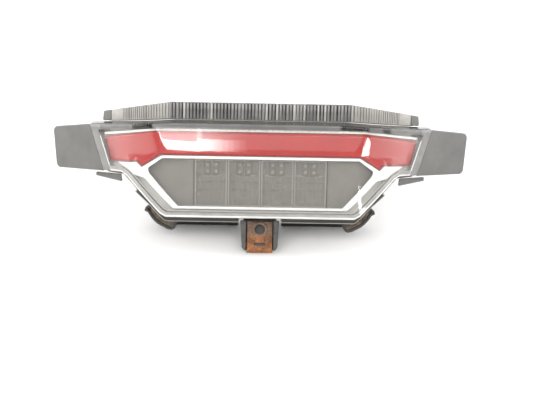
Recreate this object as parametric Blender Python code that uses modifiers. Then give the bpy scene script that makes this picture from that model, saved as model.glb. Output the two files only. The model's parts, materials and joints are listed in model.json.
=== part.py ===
"""Rear combination lamp of a motor scooter, modelled as it comes apart on a bench.

Lengths below are millimetres in the lamp's own frame: x across, y backwards from the lens face and
z up the lens face. The lamp frame then leans back by the rake angle, so that the whole lamp stands
on its mounting tongue and on two ribs under its housing.
"""

import math

import bmesh
import bpy
from mathutils import Matrix, Vector

MM = 0.001
GAP = 0.3
OVERCUT = 1.0
RAKE = math.radians(17.0)

# Plan view of the lens: a flat middle, a curved shoulder and a straight swept wing.
FLAT_HALF = 52.5
SHOULDER_RADIUS = 75.0
SHOULDER_START = math.radians(12.0)
SHOULDER_END = math.radians(46.0)
SHOULDER_STEPS = 5
WING_SWEEP = math.radians(40.0)
WING_TIP = 135.0

# Depths behind the swept lens face.
LENS_WALL = 2.4
LENS_DEPTH = 9.2
LENS_TOP_RISE = 1.4
LENS_RISE_ABOVE = 15.0
LENS_FOOT_FLARE = 0.8
LENS_FLARE_BELOW = -20.0
WING_WALL = 2.2
WING_DEPTH = 7.0
BAND_FRONT = 8.0
BAND_BACK = 18.0
BAND_TOP_RISE = -0.4
BAND_WALL = 2.0
BAND_EDGE_WALL = 1.2
BAND_MIDDLE = 32.0
BAND_FALL = 0.092
BAFFLE_THICKNESS = 2.0
STRIP_FRONT = 4.0
STRIP_BACK = 6.0
GUIDE_FRONT = 3.2
BEZEL_FRONT = 3.4
BEZEL_BACK = 5.6
PANE_FRONT = 6.0
PANE_BACK = 7.2
SURROUND_FRONT = 7.6
TRAY_FRONT = 12.0
TRAY_BACK = 13.4
TAB_FRONT = 6.2
TAB_BACK = 9.0
GASKET_THICKNESS = 1.2
HOUSING_FRONT = LENS_DEPTH + GASKET_THICKNESS + 2 * GAP
HOUSING_BACK = 47.0
HOUSING_FLOOR = 3.0
HOUSING_DRAFT = 0.97

# Half outlines seen from the front, right side, from the top round to the bottom: (x, z).
LENS_HALF = [
    (50.0, 26.3), (90.0, 24.0), (106.0, 23.2), (95.8, -4.6), (83.6, -4.4), (80.0, -6.3),
    (59.0, -26.7), (55.4, -28.7),
]
WING = [(106.4, 23.2), (WING_TIP, 20.3), (132.7, -6.0), (96.2, -4.7)]
BAND_HALF = [(52.5, 38.1), (91.4, 32.4), (91.4, 25.8), (52.5, 28.1)]
BLOCK = [(91.8, 32.4), (97.3, 31.4), (98.1, 25.4), (91.8, 25.9)]
STRIP_HALF = [
    (60.0, 20.9), (76.6, 19.0), (96.0, 15.9), (91.9, 1.5), (72.6, 2.6), (70.2, 0.0), (66.0, 2.7),
    (58.6, 7.5),
]
STRIP_OPENING_HALF = [(60.0, 20.8), (95.2, 15.8), (90.2, 2.2), (72.2, 3.4), (58.6, 8.1)]
GUIDE_HALF = [(60.0, 22.9), (95.9, 18.7), (95.5, 17.3), (60.0, 21.4)]
WINDOW_HALF = [(57.4, 5.4), (66.2, -0.8), (65.6, -3.5), (48.3, -22.5)]
BEZEL_HALF = [
    (57.6, 7.1), (66.0, 2.1), (70.2, -0.6), (73.2, 2.1), (86.5, 1.35), (79.5, -2.2), (75.6, -5.6),
    (68.6, -6.8), (51.0, -24.1),
]
HOUSING_HALF = [
    (52.0, 27.5), (90.0, 25.2), (105.2, 24.3), (95.4, -6.2), (83.6, -6.6), (74.6, -15.2),
    (76.3, -16.3), (67.0, -23.6), (57.0, -32.9), (14.6, -32.9), (13.6, -30.6),
]
HOLLOW_HALF = [
    (52.0, 25.1), (88.0, 22.6), (88.0, -4.0), (81.0, -4.6), (70.0, -16.0), (57.0, -27.6),
]
BAFFLE_HALF = [(52.5, 37.3), (91.4, 31.6), (97.0, 30.6), (97.0, 25.05), (52.5, 27.65)]
CORNER_SKIRT = [
    (66.0, -23.4), (69.0, -25.4), (69.7, -27.4), (67.5, -28.6), (66.0, -31.0), (64.1, -33.4),
    (61.7, -35.5), (59.3, -36.8), (55.7, -38.6), (53.2, -39.1), (51.4, -38.0), (50.2, -34.0),
    (48.0, -29.0), (57.0, -29.0),
]
SKIRT_FRONT = 16.0
SKIRT_BACK = 27.0
TAB = [(84.8, -6.3), (103.0, -6.7), (103.1, -8.9), (84.2, -10.6)]
TAIL_BOARD_HALF = [(60.0, 19.6), (86.0, 16.6), (83.0, 6.0), (72.0, 7.4), (60.0, 9.9)]
UPPER_BOARD_HALF = [(50.0, 34.6), (70.0, 32.2), (70.0, 30.9), (50.0, 31.4)]

# How far the trim pieces overlap or clear each other, seen from the front.
PANE_LAP = 1.8
TRAY_LAP = 2.0
SURROUND_CLEARANCE = 1.0
SURROUND_SIGHT_EDGE = 0.6
STRIP_SEAT = 2.2
TRAY_CLEARANCE = (0.7, 0.6)

# Brake light: four reflector cells side by side, two LED strips in each.
CELL_COUNT = 4
CELL_PITCH = 19.6
CELL_WIDTH = 19.2
CELL_TOP = 4.9
CELL_BOTTOM = -23.3
CELL_FRONT = LENS_DEPTH + GAP
CELL_BACK = 19.4
CELL_WALL = 0.9
LED_STRIP_SIZE = (3.4, 3.9, 8.0)
LED_STRIP_X = 2.6
LED_STRIP_Z = -0.9
LED_STRIP_BACK = 19.9
LED_SLOT_CLEARANCE = 0.4
BOARD_THICKNESS = 1.4
TAIL_BOARD_FRONT = 12.0
TAIL_LED_X = (12.0, 40.0, 70.0)
TAIL_LED_Z = (14.4, 14.4, 12.6)
UPPER_LED_X = (16.0, 46.0)
UPPER_LED_Z = 33.0
UPPER_BOARD_FRONT = 14.0
CHIP_SIZE = (3.0, 1.8, 3.0)

# Mounting tongue: a channel that leans forward below the lens, with a folded clip nut.
TONGUE_ORIGIN = (0.0, 12.0, -31.9)
TONGUE_LEAN = math.radians(25.0)
TONGUE_HALF_TOP = 11.7
TONGUE_HALF_TIP = 10.6
TONGUE_CHANNEL_HALF = 8.2
TONGUE_LENGTH = 17.2
TONGUE_PLATE = (2.0, 4.4)
TONGUE_LIP = -2.0
TONGUE_CHAMFER = 1.5
FLANGE_LOW = (-10.0, 3.0, -2.6)
FLANGE_HIGH = (10.0, 24.0, 0.2)
TONGUE_SCREW = (6.0, 17.0)
CLIP_HALF = 7.7
CLIP_SHEET = 1.2
CLIP_HOLE_RADIUS = 3.15
CLIP_COLLAR_RADIUS = 4.3
CLIP_COLLAR_HEIGHT = 1.0
CLIP_HOLE_Z = -5.2
CLIP_SLOT = (7.0, 1.8)
CLIP_SLOT_Z = -14.2
CLIP_TIP = -18.7
CLIP_FOLD = 0.7
CLIP_BACK_TOP = -11.0
CLIP_TOP = -0.4
BOLT_WAY_CLEARANCE = 0.6
BOLT_WAY = (-4.0, 9.0)

# Fittings on the back and the underside of the housing.
STUD_X = 62.0
STUD_Z = 12.0
STUD_RADIUS = 3.0
SOCKET_CENTRE = (-24.0, 8.0)
SOCKET_SIZE = (24.0, 12.0, 14.0)
SOCKET_WALL = 1.5
SOCKET_FLOOR = 2.0
PIN_SIZE = (1.0, 3.6, 1.6)
PIN_PITCH = 6.0
BREATHER_CENTRE = (26.0, 10.0)
LENS_SCREWS = [(84.0, 18.0), (48.0, -20.0)]
REST_RIB_X = 38.0
REST_RIB_SIZE = (46.0, 5.0)
REST_RIB_RISE = 3.0
REST_RIB_CENTRE = (42.4, -29.4)

# Turned profiles: (radius, distance along the axis).
SCREW_STEPS = 16
TONGUE_SCREW_HEAD = [(0.0, 2.0), (2.0, 2.0), (2.9, 1.0), (2.9, 0.0), (0.0, 0.0)]
LENS_SCREW_HEAD = [(0.0, 2.2), (2.2, 2.2), (3.2, 1.2), (3.2, 0.0), (0.0, 0.0)]
STUD_PROFILE = [
    (0.0, 17.0), (2.5, 17.0), (STUD_RADIUS, 16.5), (STUD_RADIUS, 2.0), (6.5, 2.0), (6.5, 0.0),
    (0.0, 0.0),
]
GROMMET_PROFILE = [
    (7.5, 7.3), (7.5, 5.9), (5.9, 5.5), (5.9, 4.1), (7.5, 3.7), (7.5, 2.3),
    (STUD_RADIUS + GAP, 2.3), (STUD_RADIUS + GAP, 7.3),
]
BREATHER_PROFILE = [
    (0.0, 4.4), (4.4, 4.4), (5.4, 3.6), (5.4, 1.6), (4.2, 1.2), (4.2, 0.0), (0.0, 0.0),
]

BLACK_ABS = ("black_abs", (0.02, 0.02, 0.022), 0.5, 0.0)
CLEAR = ("clear_acrylic", (0.62, 0.61, 0.59), 0.08, 0.0)
SMOKED = ("smoked_acrylic", (0.30, 0.29, 0.28), 0.12, 0.0)
GREY_SATIN = ("grey_satin", (0.30, 0.29, 0.27), 0.45, 0.0)
CHROME = ("chrome", (0.85, 0.85, 0.85), 0.08, 1.0)
SILVER = ("silver_trim", (0.55, 0.54, 0.52), 0.3, 0.8)
RED = ("red_acrylic", (0.62, 0.03, 0.03), 0.15, 0.0)
CREAM = ("light_guide", (0.9, 0.86, 0.78), 0.2, 0.0)
BOARD_GREEN = ("circuit_board", (0.03, 0.12, 0.05), 0.5, 0.0)
LED_WHITE = ("led_package", (0.85, 0.82, 0.7), 0.3, 0.0)
RUBBER = ("rubber", (0.015, 0.015, 0.015), 0.85, 0.0)
RUSTY_STEEL = ("rusty_steel", (0.30, 0.13, 0.05), 0.8, 0.3)
ZINC = ("zinc_steel", (0.55, 0.55, 0.56), 0.35, 1.0)
BRASS = ("tinned_brass", (0.7, 0.62, 0.42), 0.3, 1.0)


def clear_scene():
    """Start from an empty scene."""
    for leftover in list(bpy.data.objects):
        bpy.data.objects.remove(leftover)


def new_collection(name):
    """A collection linked to the scene."""
    group = bpy.data.collections.new(name)
    bpy.context.scene.collection.children.link(group)
    return group


def new_empty(name, parent=None, location=(0.0, 0.0, 0.0), lean=0.0):
    """An empty that leans about its x axis."""
    empty = bpy.data.objects.new(name, None)
    bpy.context.scene.collection.objects.link(empty)
    empty.parent = parent
    empty.location = Vector(location) * MM
    empty.rotation_euler = (lean, 0.0, 0.0)
    return empty


def material(finish):
    """The Principled material of a finish, made once."""
    name, colour, roughness, metallic = finish
    found = bpy.data.materials.get(name)
    if found:
        return found
    made = bpy.data.materials.new(name)
    made.use_nodes = True
    shader = made.node_tree.nodes["Principled BSDF"]
    shader.inputs["Base Color"].default_value = (*colour, 1.0)
    shader.inputs["Roughness"].default_value = roughness
    shader.inputs["Metallic"].default_value = metallic
    made.diffuse_color = (*colour, 1.0)
    return made


def mirrored(half):
    """A closed outline from its right half."""
    return half + [(-x, z) for x, z in reversed(half)]


def sided(outline, side):
    """An outline on the right (side 1) or on the left (side -1)."""
    return [(side * x, z) for x, z in outline]


def inset(outline, distance):
    """The outline moved inwards by a distance, with mitred corners; negative moves it outwards."""
    count = len(outline)
    twice_area = sum(
        outline[i][0] * outline[(i + 1) % count][1] - outline[(i + 1) % count][0] * outline[i][1]
        for i in range(count)
    )
    turn = 1.0 if twice_area > 0.0 else -1.0
    moved = []
    for i in range(count):
        here = Vector(outline[i])
        before = (here - Vector(outline[i - 1])).normalized()
        after = (Vector(outline[(i + 1) % count]) - here).normalized()
        normal_before = Vector((-before.y, before.x)) * turn
        normal_after = Vector((-after.y, after.x)) * turn
        bisector = (normal_before + normal_after).normalized()
        reach = distance / bisector.dot(normal_before)
        moved.append(tuple(here + bisector * reach))
    return moved


def rounded(outline, radii, steps=4):
    """The outline with the corners whose index is in radii turned into arcs."""
    count = len(outline)
    result = []
    for i in range(count):
        corner = Vector(outline[i])
        if i not in radii:
            result.append(tuple(corner))
            continue
        to_before = (Vector(outline[i - 1]) - corner).normalized()
        to_after = (Vector(outline[(i + 1) % count]) - corner).normalized()
        half_angle = to_before.angle(to_after) / 2
        trim = radii[i] / math.tan(half_angle)
        centre = corner + (to_before + to_after).normalized() * (radii[i] / math.sin(half_angle))
        start = corner + to_before * trim - centre
        finish = corner + to_after * trim - centre
        for step in range(steps + 1):
            spoke = start.slerp(finish, step / steps).normalized()
            result.append(tuple(centre + spoke * radii[i]))
    return result


def sweep_stations():
    """Pairs of distance from the middle and depth that the swept lens face passes through."""
    pairs = [(FLAT_HALF, 0.0)]
    for step in range(1, SHOULDER_STEPS + 1):
        angle = SHOULDER_START + (SHOULDER_END - SHOULDER_START) * step / SHOULDER_STEPS
        across = FLAT_HALF + SHOULDER_RADIUS * (math.sin(angle) - math.sin(SHOULDER_START))
        depth = SHOULDER_RADIUS * (math.cos(SHOULDER_START) - math.cos(angle))
        pairs.append((across, depth))
    last_x, last_depth = pairs[-1]
    far = WING_TIP + 10.0
    pairs.append((far, last_depth + (far - last_x) * math.tan(WING_SWEEP)))
    return pairs


def sweep(x):
    """How far the lens face lies back at a distance from the middle."""
    reach = abs(x)
    pairs = sweep_stations()
    if reach <= pairs[0][0]:
        return 0.0
    for (x0, depth0), (x1, depth1) in zip(pairs, pairs[1:]):
        if reach <= x1:
            return depth0 + (depth1 - depth0) * (reach - x0) / (x1 - x0)
    return pairs[-1][1]


def unshaped(x, z, at_back):
    """A slab with straight sides."""
    return x, z


def lens_draft(x, z, at_back):
    """The lens skirt rises at the top and spreads at the bottom."""
    if at_back and z > LENS_RISE_ABOVE:
        return x, z + LENS_TOP_RISE
    if at_back and z < LENS_FLARE_BELOW:
        return x, z - LENS_FOOT_FLARE
    return x, z


def band_draft(x, z, at_back):
    """The upper lens has a sloping top."""
    middle = BAND_MIDDLE - max(abs(x) - BAND_HALF[0][0], 0.0) * BAND_FALL
    if at_back and z > middle:
        return x, z + BAND_TOP_RISE
    return x, z


def housing_draft(x, z, at_back):
    """The housing narrows to the back."""
    if at_back:
        return x * HOUSING_DRAFT, z * HOUSING_DRAFT
    return x, z


def flat_outline_mesh(name, loops):
    """A flat plate one millimetre thick, in the XY plane, from closed outlines."""
    curve = bpy.data.curves.new(name, "CURVE")
    curve.dimensions = "2D"
    curve.fill_mode = "BOTH"
    curve.extrude = 0.5 * MM
    for loop in loops:
        spline = curve.splines.new("POLY")
        spline.points.add(len(loop) - 1)
        spline.use_cyclic_u = True
        for point, (x, z) in zip(spline.points, loop):
            point.co = (x * MM, z * MM, 0.0, 1.0)
    holder = bpy.data.objects.new(name, curve)
    bpy.context.scene.collection.objects.link(holder)
    depsgraph = bpy.context.evaluated_depsgraph_get()
    mesh = bpy.data.meshes.new_from_object(holder.evaluated_get(depsgraph))
    bpy.data.objects.remove(holder)
    bpy.data.curves.remove(curve)
    return mesh


def face_outwards(work):
    """Point every face of a closed mesh outwards."""
    bmesh.ops.recalc_face_normals(work, faces=work.faces)
    if work.calc_volume(signed=True) < 0.0:
        bmesh.ops.reverse_faces(work, faces=work.faces)


def slab_mesh(name, loops, front, back, shape=unshaped, swept_back=True, swept_front=True):
    """A plate whose faces follow the sweep of the lens, from outlines seen from the front."""
    mesh = flat_outline_mesh(name, loops)
    work = bmesh.new()
    work.from_mesh(mesh)
    bmesh.ops.remove_doubles(work, verts=work.verts, dist=0.001 * MM)
    bmesh.ops.dissolve_limit(
        work, angle_limit=math.radians(0.5), verts=work.verts, edges=work.edges
    )
    for x, _ in sweep_stations():
        for side in (1.0, -1.0):
            bmesh.ops.bisect_plane(
                work,
                geom=work.verts[:] + work.edges[:] + work.faces[:],
                plane_co=(side * x * MM, 0.0, 0.0),
                plane_no=(1.0, 0.0, 0.0),
                dist=0.01 * MM,
            )
    for vertex in work.verts:
        x = vertex.co.x / MM
        z = vertex.co.y / MM
        at_back = vertex.co.z < 0.0
        if at_back:
            depth = back + (sweep(x) if swept_back else 0.0)
        else:
            depth = front + (sweep(x) if swept_front else 0.0)
        shaped_x, shaped_z = shape(x, z, at_back)
        vertex.co = Vector((shaped_x, depth, shaped_z)) * MM
    face_outwards(work)
    work.to_mesh(mesh)
    work.free()
    return mesh


def box_mesh(name, low, high):
    """A box between two corners."""
    mesh = bpy.data.meshes.new(name)
    work = bmesh.new()
    bmesh.ops.create_cube(work, size=1.0)
    middle = (Vector(low) + Vector(high)) / 2 * MM
    size = (Vector(high) - Vector(low)) * MM
    matrix = Matrix.Translation(middle) @ Matrix.Diagonal((*size, 1.0))
    bmesh.ops.transform(work, matrix=matrix, verts=work.verts)
    work.to_mesh(mesh)
    work.free()
    return mesh


def disc_mesh(name, radius, y_front, y_back, x=0.0, z=0.0, segments=24):
    """A cylinder whose axis runs from front to back."""
    mesh = bpy.data.meshes.new(name)
    work = bmesh.new()
    place = Matrix.Translation(Vector((x, (y_front + y_back) / 2, z)) * MM)
    bmesh.ops.create_cone(
        work,
        cap_ends=True,
        segments=segments,
        radius1=radius * MM,
        radius2=radius * MM,
        depth=(y_back - y_front) * MM,
        matrix=place @ Matrix.Rotation(math.pi / 2, 4, "X"),
    )
    work.to_mesh(mesh)
    work.free()
    return mesh


def place(name, mesh, finish, group, parent):
    """A visible piece of the lamp."""
    piece = bpy.data.objects.new(name, mesh)
    group.objects.link(piece)
    piece.parent = parent
    mesh.materials.clear()
    mesh.materials.append(material(finish))
    return piece


def boolean(piece, tool_mesh, group, operation="DIFFERENCE"):
    """Cut a piece with a hidden tool, or join the tool to it."""
    tool = bpy.data.objects.new(piece.name + "_tool", tool_mesh)
    group.objects.link(tool)
    tool.parent = piece.parent
    tool.hide_render = True
    tool.display_type = "WIRE"
    step = piece.modifiers.new(operation.lower(), "BOOLEAN")
    step.operation = operation
    step.solver = "EXACT"
    step.object = tool
    return tool


def soften(piece, width):
    """Small bevels on the sharp edges of a piece."""
    step = piece.modifiers.new("soft_edges", "BEVEL")
    step.width = width * MM
    step.segments = 1
    step.limit_method = "ANGLE"
    step.angle_limit = math.radians(50.0)
    return step


def turned(name, profile, finish, group, parent, location, closed=False, steps=20):
    """A turned piece whose axis points backwards; profile is (radius, distance along the axis)."""
    mesh = bpy.data.meshes.new(name)
    points = [(radius * MM, 0.0, along * MM) for radius, along in profile]
    edges = [(i, i + 1) for i in range(len(points) - 1)]
    if closed:
        edges.append((len(points) - 1, 0))
    mesh.from_pydata(points, edges, [])
    piece = place(name, mesh, finish, group, parent)
    piece.location = Vector(location) * MM
    piece.rotation_euler = (-math.pi / 2, 0.0, 0.0)
    step = piece.modifiers.new("turn", "SCREW")
    step.axis = "Z"
    step.steps = steps
    step.render_steps = steps
    step.use_merge_vertices = True
    step.merge_threshold = 0.00001
    step.use_smooth_shade = True
    return piece


def make_outer_lens(parts, tools, lamp):
    """Clear cover: a face with a ledge along its top and a skirt round the rest."""
    outline = mirrored(LENS_HALF)
    mesh = slab_mesh("outer_lens", [outline], 0.0, LENS_DEPTH, lens_draft)
    lens = place("outer_lens", mesh, CLEAR, parts, lamp)
    inside = inset(outline, LENS_WALL)
    pocket = slab_mesh("lens_pocket", [inside], LENS_WALL, LENS_DEPTH + OVERCUT, lens_draft)
    boolean(lens, pocket, tools)


def make_wings(parts, tools, lamp):
    """Grey wings: thin covers, open at the back, that carry on the sweep of the lens."""
    outline = rounded(WING, {1: 3.0, 2: 3.0})
    for side, word in ((1, "right"), (-1, "left")):
        name = "wing_" + word
        mesh = slab_mesh(name, [sided(outline, side)], 0.0, WING_DEPTH)
        wing = place(name, mesh, GREY_SATIN, parts, lamp)
        inside = sided(inset(outline, WING_WALL), side)
        pocket = slab_mesh(name + "_pocket", [inside], WING_WALL, WING_DEPTH + OVERCUT)
        boolean(wing, pocket, tools)


def make_upper_band(parts, tools, lamp):
    """Fluted upper lens with an end block at each side and a dark baffle behind."""
    outline = mirrored(BAND_HALF)
    mesh = slab_mesh("upper_lens", [outline], BAND_FRONT, BAND_BACK, band_draft)
    lens = place("upper_lens", mesh, CLEAR, parts, lamp)
    inside = inset(outline, BAND_EDGE_WALL)
    pocket = slab_mesh(
        "band_pocket", [inside], BAND_FRONT + BAND_WALL, BAND_BACK + OVERCUT, band_draft
    )
    boolean(lens, pocket, tools)
    for side, word in ((1, "right"), (-1, "left")):
        name = "upper_block_" + word
        block = slab_mesh(name, [sided(BLOCK, side)], BAND_FRONT, BAND_BACK, band_draft)
        soften(place(name, block, BLACK_ABS, parts, lamp), 0.4)
    baffle_front = BAND_BACK + GAP
    baffle_back = baffle_front + BAFFLE_THICKNESS
    baffle = slab_mesh("upper_baffle", [mirrored(BAFFLE_HALF)], baffle_front, baffle_back)
    place("upper_baffle", baffle, BLACK_ABS, parts, lamp)
    board = slab_mesh(
        "upper_board",
        [mirrored(UPPER_BOARD_HALF)],
        UPPER_BOARD_FRONT,
        UPPER_BOARD_FRONT + BOARD_THICKNESS,
    )
    place("upper_board", board, BOARD_GREEN, parts, lamp)
    places = [side * x for side in (-1, 1) for x in UPPER_LED_X]
    for number, x in enumerate(sorted(places), start=1):
        name = "upper_led_" + str(number)
        place_chip(name, x, UPPER_LED_Z, UPPER_BOARD_FRONT - GAP, parts, lamp)


def place_chip(name, x, z, back, parts, lamp):
    """A small LED package that stands on a board."""
    width, depth, height = CHIP_SIZE
    far = back + sweep(x)
    low = (x - width / 2, far - depth, z - height / 2)
    high = (x + width / 2, far, z + height / 2)
    chip = place(name, box_mesh(name, low, high), LED_WHITE, parts, lamp)
    soften(chip, 0.3)


def make_tail_light(parts, lamp):
    """Red strip lens, the light guide over it and the board of LEDs behind."""
    strip = slab_mesh("tail_strip_lens", [mirrored(STRIP_HALF)], STRIP_FRONT, STRIP_BACK)
    place("tail_strip_lens", strip, RED, parts, lamp)
    guide = slab_mesh("light_guide", [mirrored(GUIDE_HALF)], GUIDE_FRONT, STRIP_BACK)
    place("light_guide", guide, CREAM, parts, lamp)
    board = slab_mesh(
        "tail_board",
        [mirrored(TAIL_BOARD_HALF)],
        TAIL_BOARD_FRONT,
        TAIL_BOARD_FRONT + BOARD_THICKNESS,
    )
    place("tail_board", board, BOARD_GREEN, parts, lamp)
    number = 1
    for x, z in zip(TAIL_LED_X, TAIL_LED_Z):
        for side in (-1, 1):
            clearance = GAP if x < FLAT_HALF else 3 * GAP
            name = "tail_led_" + str(number)
            place_chip(name, side * x, z, TAIL_BOARD_FRONT - clearance, parts, lamp)
            number += 1


def make_trim(parts, lamp):
    """Chrome frame, smoked pane, silver surround and dark tray, from front to back."""
    window = mirrored(WINDOW_HALF)
    frame = slab_mesh("chrome_bezel", [mirrored(BEZEL_HALF), window], BEZEL_FRONT, BEZEL_BACK)
    place("chrome_bezel", frame, CHROME, parts, lamp)
    pane = slab_mesh("window_pane", [inset(window, -PANE_LAP)], PANE_FRONT, PANE_BACK)
    place("window_pane", pane, SMOKED, parts, lamp)
    outline = inset(mirrored(LENS_HALF), LENS_WALL + SURROUND_CLEARANCE)
    strip_opening = inset(mirrored(STRIP_OPENING_HALF), STRIP_SEAT)
    surround = slab_mesh(
        "reflector_surround",
        [outline, inset(window, -SURROUND_SIGHT_EDGE), strip_opening],
        SURROUND_FRONT,
        LENS_DEPTH,
    )
    place("reflector_surround", surround, SILVER, parts, lamp)
    side_clearance, end_clearance = TRAY_CLEARANCE
    cell_half = CELL_PITCH * CELL_COUNT / 2 + side_clearance
    top = CELL_TOP + end_clearance
    bottom = CELL_BOTTOM - end_clearance
    opening = [(cell_half, top), (cell_half, bottom), (-cell_half, bottom), (-cell_half, top)]
    tray_outline = inset(window, -TRAY_LAP)
    tray = slab_mesh("reflector_tray", [tray_outline, opening], TRAY_FRONT, TRAY_BACK)
    place("reflector_tray", tray, BLACK_ABS, parts, lamp)


def make_brake_light(parts, tools, lamp):
    """Four reflector cups in a row, their LED strips and the board that carries them."""
    for number in range(1, CELL_COUNT + 1):
        middle = (number - (CELL_COUNT + 1) / 2) * CELL_PITCH
        half = CELL_WIDTH / 2
        name = "reflector_cell_" + str(number)
        low = (middle - half, CELL_FRONT, CELL_BOTTOM)
        high = (middle + half, CELL_BACK, CELL_TOP)
        cup = place(name, box_mesh(name, low, high), CHROME, parts, lamp)
        inner_low = (low[0] + CELL_WALL, CELL_FRONT - OVERCUT, CELL_BOTTOM + CELL_WALL)
        inner_high = (high[0] - CELL_WALL, CELL_BACK - CELL_WALL, CELL_TOP - CELL_WALL)
        boolean(cup, box_mesh(name + "_hollow", inner_low, inner_high), tools)
        width, depth, height = LED_STRIP_SIZE
        for side in (-1, 1):
            x = middle + side * LED_STRIP_X
            strip_low = (x - width / 2, LED_STRIP_BACK - depth, LED_STRIP_Z - height / 2)
            strip_high = (x + width / 2, LED_STRIP_BACK, LED_STRIP_Z + height / 2)
            slot_low = tuple(value - LED_SLOT_CLEARANCE for value in strip_low)
            slot_high = tuple(value + LED_SLOT_CLEARANCE for value in strip_high)
            boolean(cup, box_mesh(name + "_slot", slot_low, slot_high), tools)
            led_name = "brake_led_" + str(2 * number - 1 + (side + 1) // 2)
            led_mesh = box_mesh(led_name, strip_low, strip_high)
            soften(place(led_name, led_mesh, LED_WHITE, parts, lamp), 0.4)
    board_half = CELL_PITCH * CELL_COUNT / 2
    board_front = LED_STRIP_BACK + GAP
    low = (-board_half, board_front, CELL_BOTTOM)
    high = (board_half, board_front + BOARD_THICKNESS, CELL_TOP + 1.0)
    place("brake_board", box_mesh("brake_board", low, high), BOARD_GREEN, parts, lamp)


def rib_drop():
    """How far the rest ribs reach below their centre to stand level with the tip of the nut."""
    nut_y = TONGUE_PLATE[1] + GAP + CLIP_SHEET - CLIP_FOLD
    tip_y = TONGUE_ORIGIN[1] + nut_y * math.cos(TONGUE_LEAN) + CLIP_TIP * math.sin(TONGUE_LEAN)
    tip_z = TONGUE_ORIGIN[2] - nut_y * math.sin(TONGUE_LEAN) + CLIP_TIP * math.cos(TONGUE_LEAN)
    ground = tip_z * math.cos(RAKE) - tip_y * math.sin(RAKE)
    rib_y, rib_z = REST_RIB_CENTRE
    return rib_z * math.cos(RAKE) - rib_y * math.sin(RAKE) - ground


def make_housing(parts, tools, lamp):
    """Black tub with corner skirts and two rest ribs, the gasket in front and the side tabs."""
    outline = mirrored(HOUSING_HALF)
    mesh = slab_mesh(
        "rear_housing", [outline], HOUSING_FRONT, HOUSING_BACK, housing_draft, swept_back=False
    )
    tub = place("rear_housing", mesh, BLACK_ABS, parts, lamp)
    hollow = slab_mesh(
        "housing_hollow",
        [mirrored(HOLLOW_HALF)],
        HOUSING_FRONT - OVERCUT,
        HOUSING_BACK - HOUSING_FLOOR,
        housing_draft,
        swept_back=False,
    )
    width, length = REST_RIB_SIZE
    for side in (-1, 1):
        rib_low = (-width / 2, -length / 2, -rib_drop())
        rib_high = (width / 2, length / 2, REST_RIB_RISE)
        rib = box_mesh("rest_rib", rib_low, rib_high)
        level_rib = boolean(tub, rib, tools, "UNION")
        level_rib.location = Vector((side * REST_RIB_X, *REST_RIB_CENTRE)) * MM
        level_rib.rotation_euler = (RAKE, 0.0, 0.0)
        skirt = slab_mesh(
            "corner_skirt",
            [sided(CORNER_SKIRT, side)],
            SKIRT_FRONT,
            SKIRT_BACK,
            swept_back=False,
            swept_front=False,
        )
        boolean(tub, skirt, tools, "UNION")
    boolean(tub, hollow, tools)
    ring = mirrored(LENS_HALF)
    gasket = slab_mesh(
        "lens_gasket",
        [ring, inset(ring, LENS_WALL)],
        LENS_DEPTH + GAP,
        LENS_DEPTH + GAP + GASKET_THICKNESS,
    )
    place("lens_gasket", gasket, RUBBER, parts, lamp)
    for side, word in ((1, "right"), (-1, "left")):
        tab = slab_mesh("side_tab_" + word, [sided(TAB, side)], TAB_FRONT, TAB_BACK)
        place("side_tab_" + word, tab, GREY_SATIN, parts, lamp)


def make_tongue(parts, tools, lamp):
    """Mounting tongue: a channel with a screwed flange, its screws and the folded clip nut."""
    leaning = new_empty("tongue_frame", lamp, TONGUE_ORIGIN, -TONGUE_LEAN)
    half_outline = [
        (TONGUE_HALF_TOP, 0.0),
        (TONGUE_HALF_TIP, -TONGUE_LENGTH + TONGUE_CHAMFER),
        (TONGUE_HALF_TIP - TONGUE_CHAMFER, -TONGUE_LENGTH),
    ]
    outline = mirrored(half_outline)
    mesh = slab_mesh("mounting_tongue", [outline], TONGUE_LIP, TONGUE_PLATE[1])
    tongue = place("mounting_tongue", mesh, BLACK_ABS, parts, leaning)
    channel_low = (-TONGUE_CHANNEL_HALF, TONGUE_LIP - OVERCUT, -TONGUE_LENGTH - OVERCUT)
    channel_high = (TONGUE_CHANNEL_HALF, TONGUE_PLATE[0], OVERCUT)
    boolean(tongue, box_mesh("tongue_channel", channel_low, channel_high), tools)
    bolt_radius = CLIP_HOLE_RADIUS + BOLT_WAY_CLEARANCE
    bolt_way = disc_mesh("tongue_bolt_way", bolt_radius, *BOLT_WAY, z=CLIP_HOLE_Z)
    boolean(tongue, bolt_way, tools)
    flange_mesh = box_mesh("tongue_flange", FLANGE_LOW, FLANGE_HIGH)
    flange = boolean(tongue, flange_mesh, tools, "UNION")
    flange.rotation_euler = (TONGUE_LEAN, 0.0, 0.0)
    screw_x, screw_y = TONGUE_SCREW
    for side, word in ((1, "right"), (-1, "left")):
        name = "tongue_screw_" + word
        seat_z = TONGUE_ORIGIN[2] + FLANGE_LOW[2] - GAP
        where = (side * screw_x, TONGUE_ORIGIN[1] + screw_y, seat_z)
        screw = turned(name, TONGUE_SCREW_HEAD, ZINC, parts, lamp, where, steps=SCREW_STEPS)
        screw.rotation_euler = (math.pi, 0.0, 0.0)
    make_clip_nut(parts, tools, leaning)


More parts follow.
